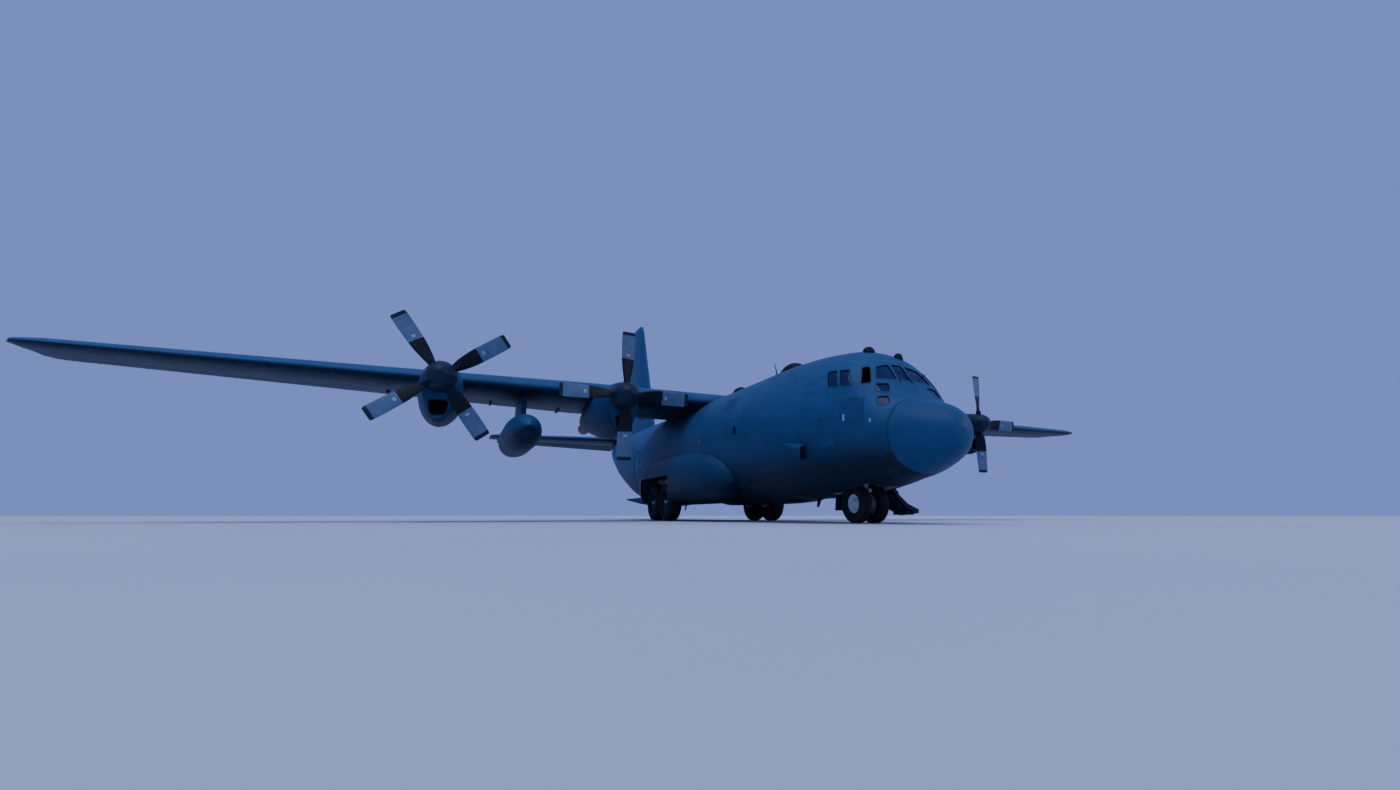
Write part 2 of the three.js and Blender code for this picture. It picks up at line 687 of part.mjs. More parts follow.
// Nacelle. Columns: station, half width, top, waist, bottom from the axis, roundness.
const NACELLE = [
  [9150, 465, 470, -60, -1180, 2, 1.8],
  [9450, 530, 520, -80, -1230, 2.1, 1.9],
  [10200, 600, 590, -100, -1220, 2.2, 2],
  [11300, 630, 560, -120, -1120, 2.2, 2],
  [12600, 600, 480, -140, -880, 2, 2],
  [13900, 480, 420, -120, -540, 2, 2],
  [15000, 280, 350, -40, -240, 2, 2],
  [15500, 120, 200, 0, -80, 2, 2],
];
const NACELLE_SIDES = 16;
const NACELLE_WALL = 60;
const COWL_LIP = 150;
const CAVITY_END = 13600;
const SHAFT_RADIUS = 90;
const INTAKE = { half: 250, top: -640, bottom: -1030 };
const ENGINE_BLOCK = { half: 345, from: 9500, to: 12250, bottom: -600, top: 90 };
const CRADLES = [10200, 11900];

function nacelleForm(yFrom, yTo, inset) {
  const between = NACELLE.map((row) => row[0]).filter((y) => y > yFrom + 1 && y < yTo - 1);
  return loft(
    [yFrom, ...between, yTo].map((y) => {
      const section = rowAt(NACELLE, HULL_COLUMNS, y);
      section.half -= inset;
      section.top -= inset;
      section.bottom += inset;
      return ovalRing(y, 0, section, NACELLE_SIDES);
    }),
  );
}

function nacelle(x, z) {
  const front = NACELLE[0][0];
  const end = NACELLE[NACELLE.length - 1][0];
  const cavity = nacelleForm(front + COWL_LIP, CAVITY_END, NACELLE_WALL);
  const mouth = prism(
    "front",
    [
      [-INTAKE.half, INTAKE.top],
      [-INTAKE.half * 0.6, INTAKE.bottom],
      [INTAKE.half * 0.6, INTAKE.bottom],
      [INTAKE.half, INTAKE.top],
    ],
    front - 50,
    front + COWL_LIP + 50,
  );
  const shaft = rod([0, front - 50, 0], [0, front + COWL_LIP + 50, 0], SHAFT_RADIUS + PLAY);
  const shell = cut(nacelleForm(front, end, 0), cavity, mouth, shaft);
  const beams = CRADLES.map((y) => {
    const beam = box(-700, 700, y, y + 160, ENGINE_BLOCK.bottom - 110, ENGINE_BLOCK.bottom - GAP);
    return common(beam, nacelleForm(front, end, 20));
  });
  const whole = geometryOf(join(shell, ...beams)).translate(x, 0, z);
  return cut(solid(whole), grownWing);
}

// Propeller: a spinner on a hub with four broad, square-tipped blades.
const PROP = { y: 8860, radius: 2057, blades: 4, spinner: 430, back: 9150 - PLAY };
const SPINNER_PROFILE = [
  [-520, 0],
  [-500, 110],
  [-400, 240],
  [-240, 350],
  [-60, 410],
  [120, PROP.spinner],
  [PROP.back - PROP.y, PROP.spinner],
  [PROP.back - PROP.y, 0],
];
// Blade. Columns: radius, chord, thickness, twist in degrees out of the disc.
const BLADE_ROWS = [
  [330, 190, 180, 40],
  [640, 370, 110, 32],
  [1100, 450, 62, 20],
  [1600, 455, 42, 12],
  [1960, 440, 26, 8],
  [PROP.radius, 330, 18, 7],
];
const BLADE_POINTS = 8;

function blade() {
  return loft(
    BLADE_ROWS.map(([radius, chord, thick, twist]) => {
      const tilt = THREE.MathUtils.degToRad(twist);
      return Array.from({ length: BLADE_POINTS }, (_, k) => {
        const angle = (2 * Math.PI * k) / BLADE_POINTS;
        const u = (Math.cos(angle) * chord) / 2;
        const v = (Math.sin(angle) * thick) / 2;
        const across = u * Math.cos(tilt) - v * Math.sin(tilt);
        return [across, u * Math.sin(tilt) + v * Math.cos(tilt), radius];
      });
    }),
  );
}

function propeller() {
  const spinner = turned("y", SPINNER_PROFILE, 18);
  const oneBlade = geometryOf(blade());
  const blades = Array.from({ length: PROP.blades }, (_, k) =>
    solid(oneBlade.clone().rotateY((2 * Math.PI * k) / PROP.blades)),
  );
  const shaft = rod([0, 0, 0], [0, PROP.back - PROP.y + 170, 0], SHAFT_RADIUS);
  return join(spinner, shaft, ...blades);
}

const propellerForm = propeller();
ENGINES.forEach(([name, x, z, angle]) => {
  addPiece("nacelle_" + name, nacelle(x, z), GREY);
  const { half, from, to, bottom, top } = ENGINE_BLOCK;
  addPiece("engine_" + name, box(x - half, x + half, from, to, z + bottom, z + top), METAL);
  const turning = addPiece("propeller_" + name, propellerForm, BLADE);
  turning.position.set(x, PROP.y, z);
  turning.rotation.y = angle;
});

// External fuel tanks on pylons, between the engines.
const TANK = { x: 7700, z: 2920, from: 9750, length: 7600, radius: 600 };
const TANK_PROFILE = [
  [0, 0],
  [0.01, 0.13],
  [0.05, 0.42],
  [0.13, 0.78],
  [0.24, 0.97],
  [0.34, 1],
  [0.56, 1],
  [0.7, 0.9],
  [0.85, 0.58],
  [0.96, 0.2],
  [1, 0],
];
const PYLON = { half: 95, from: 11650, to: 15050 };
const tankBody = turned(
  "y",
  TANK_PROFILE.map(([share, radius]) => [share * TANK.length, radius * TANK.radius]),
  18,
);
const pylonOutline = [
  [PYLON.from, 0],
  [PYLON.from + 350, -PYLON.half],
  [PYLON.to - 700, -PYLON.half],
  [PYLON.to, 0],
  [PYLON.to - 700, PYLON.half],
  [PYLON.from + 350, PYLON.half],
].map(([y, x]) => [TANK.x + x, y]);
const tank = join(
  solid(geometryOf(tankBody).translate(TANK.x, TANK.from, TANK.z)),
  cut(prism("plan", pylonOutline, TANK.z + 300, 4480), grownWing),
);
addPair("fuel_tank", tank, GREY);

// Main gear: a fairing on each side of the hull, open below and outboard round the wheels.
// Columns: station, half width from its centre line, top, waist, bottom, roundness.
const SPONSON_CENTRE = 1750;
const SPONSON = [
  [7500, 200, 1650, 1420, 1200, 2, 2],
  [7950, 560, 1950, 1400, 860, 2.4, 2.4],
  [8850, 760, 2180, 1400, 690, 2.8, 3],
  [10350, 860, 2380, 1400, 640, 2.8, 3.4],
  [12150, 900, 2480, 1400, 630, 2.8, 3.4],
  [14750, 880, 2450, 1400, 640, 2.8, 3.4],
  [15750, 720, 2150, 1400, 740, 2.6, 3],
  [16600, 380, 1700, 1400, 1060, 2.2, 2.4],
  [16900, 200, 1520, 1400, 1250, 2, 2],
];
const sponsonForm = loft(
  SPONSON.map(([y]) => ovalRing(y, SPONSON_CENTRE, rowAt(SPONSON, HULL_COLUMNS, y), 20)),
);
addPair("sponson", cut(sponsonForm, hull(FORWARD_END, CENTRE_END, -GAP), wellCut), GREY);

// Wheels. A tyre's profile across its width, as shares of half its width and of its radius.
const TYRE_PROFILE = [
  [-0.55, 0.5],
  [-0.95, 0.62],
  [-1, 0.82],
  [-0.7, 0.97],
  [-0.3, 1],
  [0.3, 1],
  [0.7, 0.97],
  [1, 0.82],
  [0.95, 0.62],
  [0.55, 0.5],
];
function wheel(radius, width, hubWidth, bore, sides) {
  const tyre = TYRE_PROFILE.map(([across, out]) => [(across * width) / 2, out * radius]);
  const [left, right] = [-hubWidth / 2, hubWidth / 2];
  const hub = [[right, radius * 0.22], [right, bore], [left, bore], [left, radius * 0.22]];
  const outline = [...tyre, ...hub];
  return turned("x", [...outline, outline[0]], sides);
}

const MAIN = { x: 2175, radius: 710, width: 510, bore: 62, axle: 50, legX: 1760, legRadius: 95 };
const MAIN_LEGS = [["fore", 12510], ["aft", 14030]];
const mainWheel = wheel(MAIN.radius, MAIN.width, 380, MAIN.bore, 24);
for (const [place, y] of MAIN_LEGS) {
  const axleEnd = MAIN.x + MAIN.width / 2 - 30;
  const leg = join(
    rod([MAIN.legX, y, MAIN.radius - 60], [MAIN.legX, y, WELL.roof - 8], MAIN.legRadius),
    rod([MAIN.legX, y, MAIN.radius - 140], [MAIN.legX, y, MAIN.radius + 160], MAIN.legRadius + 25),
    rod([MAIN.legX, y, MAIN.radius], [axleEnd, y, MAIN.radius], MAIN.axle),
  );
  addPair("main_leg_" + place, leg, METAL);
  const placed = geometryOf(mainWheel).translate(MAIN.x, y, MAIN.radius);
  addPair("main_wheel_" + place, solid(placed), RUBBER);
}

// Nose gear: a fixed strut, a leg that steers in it, and twin wheels on one axle.
const NOSE = { y: 3500, radius: 495, width: 310, wheelX: 275, legRadius: 55, axle: 36 };
const TRUNNION = BAY.half - BAY_WALL - GAP;
const STRUT = { outer: 95, bottom: 900, top: BAY.roof - BAY_WALL - GAP };
const strut = cut(
  join(
    rod([0, NOSE.y, STRUT.bottom], [0, NOSE.y, STRUT.top], STRUT.outer),
    rod([0, NOSE.y, 1330], [0, NOSE.y - 820, 1690], 45),
    rod([-TRUNNION, NOSE.y, 1560], [TRUNNION, NOSE.y, 1560], 60),
  ),
  rod([0, NOSE.y, 0], [0, NOSE.y, 1200], NOSE.legRadius + 10),
);
addPiece("nose_strut", strut, METAL);
const steering = cut(
  join(
    rod([0, NOSE.y, NOSE.radius], [0, NOSE.y, 1150], NOSE.legRadius),
    rod([-85, NOSE.y, NOSE.radius], [85, NOSE.y, NOSE.radius], 75),
  ),
  rod([-200, NOSE.y, NOSE.radius], [200, NOSE.y, NOSE.radius], NOSE.axle + 8),
);
addPiece("nose_steering_leg", steering, METAL);
const noseWheel = geometryOf(wheel(NOSE.radius, NOSE.width, 200, NOSE.axle - 6, 20));
const noseAxle = rod([-NOSE.wheelX - 90, 0, 0], [NOSE.wheelX + 90, 0, 0], NOSE.axle);
const noseWheels = join(
  noseAxle,
  ...[-NOSE.wheelX, NOSE.wheelX].map((x) => solid(noseWheel.clone().translate(x, 0, 0))),
);
const noseTwin = addPiece("nose_wheels", noseWheels, RUBBER);
noseTwin.position.set(0, NOSE.y, NOSE.radius);

export default root;
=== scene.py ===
# %% [markdown]
# # A military transport plane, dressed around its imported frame
# The frame is a half-size CAD model: plain solids with real joints. Each step below makes one
# kind of part of the aircraft as a surface worked out with numpy, gives it a procedural
# finish, and lets it ride on the frame's bodies.

import bpy
import numpy as np
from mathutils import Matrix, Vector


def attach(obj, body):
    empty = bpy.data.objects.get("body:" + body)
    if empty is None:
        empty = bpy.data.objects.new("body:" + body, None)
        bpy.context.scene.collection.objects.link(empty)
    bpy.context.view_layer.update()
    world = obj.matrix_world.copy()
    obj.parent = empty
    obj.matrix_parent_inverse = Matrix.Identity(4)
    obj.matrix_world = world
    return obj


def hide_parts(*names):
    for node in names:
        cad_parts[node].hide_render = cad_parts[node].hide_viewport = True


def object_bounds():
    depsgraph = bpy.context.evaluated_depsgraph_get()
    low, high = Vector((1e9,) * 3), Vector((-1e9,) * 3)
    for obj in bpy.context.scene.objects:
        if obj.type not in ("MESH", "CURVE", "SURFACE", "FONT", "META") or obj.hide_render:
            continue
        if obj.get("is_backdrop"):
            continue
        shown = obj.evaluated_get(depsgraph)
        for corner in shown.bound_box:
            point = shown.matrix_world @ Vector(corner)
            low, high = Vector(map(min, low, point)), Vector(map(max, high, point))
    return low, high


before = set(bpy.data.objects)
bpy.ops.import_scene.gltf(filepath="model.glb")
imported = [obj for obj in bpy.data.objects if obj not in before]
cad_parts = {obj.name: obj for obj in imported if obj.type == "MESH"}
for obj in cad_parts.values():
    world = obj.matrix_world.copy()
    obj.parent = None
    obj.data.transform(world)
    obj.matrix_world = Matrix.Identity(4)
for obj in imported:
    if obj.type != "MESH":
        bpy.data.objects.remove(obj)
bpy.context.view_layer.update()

# %% [markdown]
# ## One unit for every table
# An aircraft's drawings give stations: distances aft of the nose, here in millimetres of the
# full-size aircraft. Keeping the tables in those numbers and halving them in one place is
# safer than writing every part in the model's own metres.

# %% From full-size millimetres to the model
MM = 0.0005
MIDDLE_STATION = 14895.0


def in_model(points):
    """Halves full-size millimetres and moves the origin to the middle of the length."""
    return (np.asarray(points, float) - [0, MIDDLE_STATION, 0]) * MM


print("the nose is at", in_model([0, 0, 0]), "in the model")


def smooth_rows(table, places):
    """Every column of a table between its rows, as cubic Hermite curves. The slope at a row
    is the harmonic mean of the slopes beside it, so a column never overshoots its rows."""
    rows = np.array(table, float)
    x, y = rows[:, 0], rows[:, 1:]
    step = np.diff(x)[:, None]
    slope = np.diff(y, axis=0) / step
    before, after = slope[:-1], slope[1:]
    same = before * after > 0
    tangent = np.zeros_like(y)
    tangent[1:-1] = np.where(same, 2 * before * after / np.where(same, before + after, 1), 0)
    tangent[0], tangent[-1] = slope[0], slope[-1]
    places = np.clip(np.asarray(places, float), x[0], x[-1])
    k = np.clip(np.searchsorted(x, places) - 1, 0, len(x) - 2)
    t = ((places - x[k]) / step[k, 0])[..., None]
    return (
        (2 * t**3 - 3 * t**2 + 1) * y[k]
        + (t**3 - 2 * t**2 + t) * step[k] * tangent[k]
        + (3 * t**2 - 2 * t**3) * y[k + 1]
        + (t**3 - t**2) * step[k] * tangent[k + 1]
    )


# %% [markdown]
# ## Grids into meshes
# Every surface here is a grid of points, so one function can turn any of them into a mesh:
# it welds seams and poles, drops faces that have shrunk to nothing, and turns the whole
# right side out by the sign of its volume.

# %% Grid faces, welding and the piece maker


def grid_faces(rows, columns, close_rows=False, close_columns=False):
    """The four corners of each cell of a rows by columns grid, joined end to end if closed."""
    index = np.arange(rows * columns).reshape(rows, columns)
    if close_rows:
        index = np.vstack([index, index[:1]])
    if close_columns:
        index = np.hstack([index, index[:, :1]])
    corners = [index[:-1, :-1], index[1:, :-1], index[1:, 1:], index[:-1, 1:]]
    return np.stack(corners, -1).reshape(-1, 4)


def weld(points, faces):
    """Points within a hundredth of a millimetre become one; a quad that loses a corner
    becomes a triangle, written as a quad with its last corner -1. The third result says
    which old face each new one was."""
    _, first, back = np.unique(np.round(points, 2), axis=0, return_index=True, return_inverse=True)
    faces = np.where(faces < 0, -1, back.ravel()[faces])
    following = np.roll(faces, -1, 1)
    repeated = (faces == following) & (faces >= 0)
    diagonal = (faces[:, 0] == faces[:, 2]) | ((faces[:, 1] == faces[:, 3]) & (faces[:, 3] >= 0))
    lost = repeated.sum(1)
    triangle = (lost == 1) & (faces[:, 3] >= 0)
    order = np.where(repeated[triangle], 1, 0).argmax(1)[:, None]
    turned = np.take_along_axis(faces[triangle], (order + 1 + np.arange(4)) % 4, 1)
    turned[:, 3] = -1
    kept = (lost == 0) & ~diagonal
    source = np.concatenate([np.flatnonzero(kept), np.flatnonzero(triangle)])
    return points[first], np.vstack([faces[kept], turned]), source


def volume_sign(points, faces):
    """A number with the sign of the volume that the faces close: the sum of the pyramids
    from the middle of the points to each face."""
    centred = points - points.mean(0)
    a, b, c = (centred[faces[:, i]] for i in range(3))
    total = np.einsum("ij,ij->", a, np.cross(b, c))
    whole = faces[:, 3] >= 0
    d = centred[faces[whole, 3]]
    return total + np.einsum("ij,ij->", a[whole], np.cross(c[whole], d))


def make_piece(name, parts, material, body="airframe", replaces=(), smooth=40, wall=0):
    """One object from a list of parts, each (points, faces) or (points, faces, material
    number of the part or of each face), welded and turned right side out."""
    all_points, all_faces, numbers, used = [], [], [], 0
    for points, faces, *number in parts:
        number = np.broadcast_to(number[0] if number else 0, len(faces))
        points, faces, source = weld(np.asarray(points, float).reshape(-1, 3), faces)
        if volume_sign(points, faces) < 0:
            faces = np.where(faces[:, 3:] < 0, faces[:, [2, 1, 0, 3]], faces[:, ::-1])
        all_points.append(points)
        all_faces.append(np.where(faces < 0, -1, faces + used))
        numbers.append(number[source])
        used += len(points)
    faces = np.vstack(all_faces)
    corners = [face[:3] if face[3] < 0 else face for face in faces.tolist()]
    mesh = bpy.data.meshes.new(name)
    mesh.from_pydata(in_model(np.vstack(all_points)).tolist(), [], corners)
    materials = material if isinstance(material, (list, tuple)) else [material]
    for each in materials:
        mesh.materials.append(each)
    piece = bpy.data.objects.new(name, mesh)
    bpy.context.scene.collection.objects.link(piece)
    mesh.polygons.foreach_set("use_smooth", np.ones(len(mesh.polygons), bool))
    mesh.polygons.foreach_set("material_index", np.concatenate(numbers))
    if smooth:
        mesh.set_sharp_from_angle(angle=np.radians(smooth))
    if wall:
        solid = piece.modifiers.new("wall", "SOLIDIFY")
        solid.thickness = wall * MM
        solid.offset = -1
        solid.use_even_offset = False
    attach(piece, body)
    if replaces:
        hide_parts(*replaces)
    print(name, "rides on", body, "with", len(mesh.polygons), "faces")


# %% [markdown]
# ## Shapes that come again and again
# Struts, pipes and wires are tubes along a path; hubs and lamps are turned on a lathe; floors
# and brackets are boxes with softened edges. Each is a small formula of its own.

# %% Tube, lathe and box


def tube(path, radius, sides=12):
    """A round section carried along a path of points, each with its own radius, its two ends
    closed by a section of no radius."""
    path = np.asarray(path, float)
    radius = np.broadcast_to(np.asarray(radius, float), len(path))
    path = np.vstack([path[:1], path, path[-1:]])
    radius = np.concatenate([[0], radius, [0]])
    along = np.gradient(path, axis=0)
    along[0], along[-1] = path[2] - path[1], path[-2] - path[-3]
    along /= np.maximum(np.linalg.norm(along, axis=1, keepdims=True), 1e-9)
    spare = np.where(np.abs(along[:, 2:]) < 0.9, [[0, 0, 1.0]], [[0, 1.0, 0]])
    side = np.cross(along, spare)
    side /= np.linalg.norm(side, axis=1, keepdims=True)
    up = np.cross(side, along)
    turn = np.linspace(0, 2 * np.pi, sides, endpoint=False)
    ring = side[:, None] * np.cos(turn)[None, :, None] + up[:, None] * np.sin(turn)[None, :, None]
    points = path[:, None] + ring * radius[:, None, None]
    return points.reshape(-1, 3), grid_faces(len(path), sides, close_columns=True)


def lathe(axis, centre, profile, sides=48):
    """A profile of (distance along, radius) turned round the x, y or z axis at a centre."""
    profile = np.array(profile, float)
    turn = np.linspace(0, 2 * np.pi, sides, endpoint=False)
    along = np.repeat(profile[:, :1], sides, 1)
    first, second = profile[:, 1:] * np.cos(turn), profile[:, 1:] * np.sin(turn)
    order = {"x": (along, first, second), "y": (first, along, second), "z": (first, second, along)}
    points = np.stack(order[axis], -1) + np.asarray(centre, float)
    closed = np.allclose(profile[0], profile[-1])
    if closed:
        points = points[:-1]
    return points.reshape(-1, 3), grid_faces(len(points), sides, closed, True)


def soft_box(low, high, edge=4.0):
    """A box whose section rounds in by an edge at both ends of each side: a superellipse of
    high power in plan, stacked at six heights."""
    low, high = np.asarray(low, float), np.asarray(high, float)
    middle, reach = (low + high) / 2, (high - low) / 2
    turn = np.linspace(0, 2 * np.pi, 32, endpoint=False) + np.pi / 32
    power = 0.12
    wave = np.stack([np.cos(turn), np.sin(turn)], -1)
    plan = np.sign(wave) * np.abs(wave) ** power
    plan /= np.abs(plan).max()
    to_middle = 1e9
    inset = np.array([to_middle, edge, 0, 0, edge, to_middle])
    height = np.array([-1, -1, -1, 1, 1, 1]) * reach[2]
    height[2] += edge
    height[3] -= edge
    rings = []
    for inward, z in zip(inset, height):
        reach_here = np.maximum(reach[:2] - inward, 0)
        rings.append(np.column_stack([plan * reach_here, np.full(len(plan), z)]))
    points = np.array(rings) + middle
    return points.reshape(-1, 3), grid_faces(6, len(turn), close_columns=True)


def slab(outer, inner):
    """A closed plate between two grids of the same size."""
    outer, inner = np.asarray(outer, float), np.asarray(inner, float)
    rows, columns = outer.shape[:2]
    index = np.arange(rows * columns).reshape(rows, columns)
    rim = np.concatenate([index[0], index[1:, -1], index[-1, -2::-1], index[-2:0:-1, 0]])
    follow = np.roll(rim, -1)
    front = grid_faces(rows, columns)
    count = rows * columns
    walls = np.stack([rim, follow, follow + count, rim + count], -1)
    points = np.concatenate([outer.reshape(-1, 3), inner.reshape(-1, 3)])
    return points, np.vstack([front[:, ::-1], front + count, walls])


# %% [markdown]
# ## Finishes
# A military transport's matte paint is never one colour: panels were sprayed at different
# times, oil and rain draw streaks aft, and the seams of the sheets show as fine dark lines
# with rows of rivets. All of that is worked out in the shader from the place on the object.

# %% Node helpers


def node(tree, kind, *inputs, **settings):
    """Adds a node, feeds its sockets in order, and gives back its first output."""
    made = tree.nodes.new("ShaderNode" + kind)
    for key, value in settings.items():
        setattr(made, key, value)
    for socket, value in zip(made.inputs, inputs):
        if isinstance(value, bpy.types.NodeSocket):
            tree.links.new(value, socket)
        elif value is not None:
            socket.default_value = value
    return made.outputs[0]


def calc(tree, operation, a, b=None):
    """One sum on one or two values, such as ADD or SQRT."""
    return node(tree, "Math", a, b, operation=operation)


def remap(tree, value, low, high, to_low=0.0, to_high=1.0):
    """A value's share between two numbers, held between two others."""
    return node(tree, "MapRange", value, low, high, to_low, to_high)


def blend_colors(tree, share, first, second):
    """first (1 - share) + second share, for colours or for sockets that carry them."""
    made = tree.nodes.new("ShaderNodeMix")
    made.data_type = "RGBA"
    for slot_name, value in (("Factor_Float", share), ("A_Color", first), ("B_Color", second)):
        socket = next(s for s in made.inputs if s.identifier == slot_name)
        if isinstance(value, bpy.types.NodeSocket):
            tree.links.new(value, socket)
        else:
            socket.default_value = value if isinstance(value, float) else (*value, 1)
    return next(s for s in made.outputs if s.identifier == "Result_Color")


def new_finish(name, color, roughness, metallic=0.0):
    """A material with its plain values set, and the tree and shader to go on with."""
    material = bpy.data.materials.new(name)
    material.use_nodes = True
    shader = material.node_tree.nodes["Principled BSDF"]
    shader.inputs["Base Color"].default_value = (*color, 1)
    shader.inputs["Roughness"].default_value = roughness
    shader.inputs["Metallic"].default_value = metallic
    return material, material.node_tree, shader


def connect_bump(tree, shader, height, strength, distance):
    """Tilts the shading normal by the slope of a height."""
    made = tree.nodes.new("ShaderNodeBump")
    made.inputs["Strength"].default_value = strength
    made.inputs["Distance"].default_value = distance
    tree.links.new(height, made.inputs["Height"])
    tree.links.new(made.outputs[0], shader.inputs["Normal"])


# %% [markdown]
# ## Paint over riveted sheets
# An image of the panels would have to be painted and wrapped. Distances to the nearest seam
# and rivet are sums on the place itself, so they stay sharp at any size, and the same place
# chooses each sheet's tone. Faces that look down, and the hull's belly, carry a painted shade:
# their paint is darkened towards the colour of shadow.

# %% Sheet-metal paint with seams, rivets and streaks
# Painted shade: faces that look down, and the hull's belly, are darkened in the paint.
BELLY_PAINTED_SHADE = (0.45, 1.3)
UNDERSIDE_PAINTED_SHADE = 0.94
UNDERSIDE_SHADE_SPAN = (-0.6, 0.12)
DULL_GLOSS = 0.16
HULL_AXIS_HEIGHT = 1.38
SEAM_EDGE, RIVET_EDGE = (0.0012, 0.0028), (0.0012, 0.0026)
RIVET_ASIDE, RIVET_PITCH = 0.009, 0.022
STREAK_STRETCH = (9.0, 0.9, 9.0)


def dark_mix(color, share):
    """A colour with each of its parts cut to a share."""
    return tuple(c * share for c in color)


def sheet_number(tree, value, spacing):
    """The nearest multiple of a spacing, counted: floor(value / spacing + 1/2)."""
    share = calc(tree, "ADD", calc(tree, "DIVIDE", value, spacing), 0.5)
    return calc(tree, "FLOOR", share)


def seam_distance(tree, value, spacing):
    """How far a value is from the nearest multiple of a spacing."""
    share = calc(tree, "FRACT", calc(tree, "ADD", calc(tree, "DIVIDE", value, spacing), 0.5))
    offset = calc(tree, "ABSOLUTE", calc(tree, "SUBTRACT", share, 0.5))
    return calc(tree, "MULTIPLY", offset, spacing)


def underside_shade_mask(tree):
    """The share of painted shade: 0 on faces that look up or level and 1 on those that look
    straight down.
    """
    facing = tree.nodes.new("ShaderNodeNewGeometry").outputs["Normal"]
    parts = tree.nodes.new("ShaderNodeSeparateXYZ")
    tree.links.new(facing, parts.inputs[0])
    return remap(tree, parts.outputs[2], *UNDERSIDE_SHADE_SPAN, 1.0, 0.0)


def sheet_paint(name, color, round_hull, panel=(0.36, 0.26), roughness=0.5, dirt=0.5, seam=1.0):
    """Paint over riveted sheets. On a round hull the second seam family runs along it at
    equal angles; on a flat one at equal distances across it."""
    material, tree, shader = new_finish(name, color, roughness)
    shader.inputs["Specular IOR Level"].default_value = DULL_GLOSS
    place = tree.nodes.new("ShaderNodeTexCoord").outputs["Object"]
    axes = tree.nodes.new("ShaderNodeSeparateXYZ")
    tree.links.new(place, axes.inputs[0])
    x, y, z = axes.outputs
    across = x
    if round_hull:
        above_axis = calc(tree, "SUBTRACT", z, HULL_AXIS_HEIGHT)
        across = calc(tree, "ARCTAN2", above_axis, calc(tree, "ABSOLUTE", x))
    along_seam = seam_distance(tree, y, panel[0])
    across_seam = seam_distance(tree, across, panel[1])
    nearest = calc(tree, "MINIMUM", along_seam, across_seam)
    line = remap(tree, nearest, *SEAM_EDGE, 1.0, 0.0)
    aside = calc(tree, "ABSOLUTE", calc(tree, "SUBTRACT", nearest, RIVET_ASIDE))
    dots = seam_distance(tree, calc(tree, "ADD", y, across), RIVET_PITCH)
    squares = [calc(tree, "POWER", reach, 2.0) for reach in (aside, dots)]
    rivet = remap(tree, calc(tree, "SQRT", calc(tree, "ADD", *squares)), *RIVET_EDGE, 1.0, 0.0)
    sheet = [sheet_number(tree, y, panel[0]), sheet_number(tree, across, panel[1])]
    cell = node(tree, "CombineXYZ", *sheet, calc(tree, "SIGN", x))
    sheet_tone = node(tree, "TexWhiteNoise", cell)
    mottle = node(tree, "TexNoise", place, None, 2.2, 6.0, 0.6)
    stretched = tree.nodes.new("ShaderNodeMapping")
    stretched.inputs["Scale"].default_value = STREAK_STRETCH
    tree.links.new(place, stretched.inputs["Vector"])
    streak = node(tree, "TexNoise", stretched.outputs[0], None, 1.6, 5.0, 0.55)
    fine = node(tree, "TexNoise", place, None, 60.0, 3.0, 0.6)
    light = tuple(min(1.0, c * 1.16 + 0.004) for c in color)
    dark = tuple(c * 0.6 for c in color)
    per_sheet = calc(tree, "MULTIPLY", sheet_tone, 0.18)
    tone = calc(tree, "ADD", calc(tree, "MULTIPLY", mottle, 0.82), per_sheet)
    base = blend_colors(tree, remap(tree, tone, 0.3, 0.72), dark_mix(color, 0.88), light)
    # Painted shade: faces that look down, and on a round hull all that lies low on the belly, go
    # towards 0.12 of the colour.
    shade = calc(tree, "MULTIPLY", underside_shade_mask(tree), UNDERSIDE_PAINTED_SHADE)
    if round_hull:
        shade = calc(tree, "MAXIMUM", shade, remap(tree, z, *BELLY_PAINTED_SHADE, UNDERSIDE_PAINTED_SHADE, 0.0))
    base = blend_colors(tree, shade, base, dark_mix(color, 0.12))
    grime = calc(tree, "MULTIPLY", remap(tree, streak, 0.48, 0.78), dirt)
    base = blend_colors(tree, grime, base, dark)
    speck = calc(tree, "MULTIPLY", remap(tree, fine, 0.62, 0.8), 0.25)
    base = blend_colors(tree, speck, base, light)
    in_seam = calc(tree, "MULTIPLY", line, 0.6 * seam)
    base = blend_colors(tree, in_seam, base, dark_mix(color, 0.32))
    tree.links.new(base, shader.inputs["Base Color"])
    sheen = calc(tree, "ADD", calc(tree, "MULTIPLY", mottle, 0.22), roughness - 0.1)
    tree.links.new(sheen, shader.inputs["Roughness"])
    heads, grooves = calc(tree, "MULTIPLY", rivet, 0.35), calc(tree, "MULTIPLY", line, seam)
    height = calc(tree, "SUBTRACT", heads, grooves)
    height = calc(tree, "ADD", height, calc(tree, "MULTIPLY", mottle, 0.5))
    height = calc(tree, "ADD", height, calc(tree, "MULTIPLY", fine, 0.05))
    connect_bump(tree, shader, height, 0.35, 0.003)
    return material


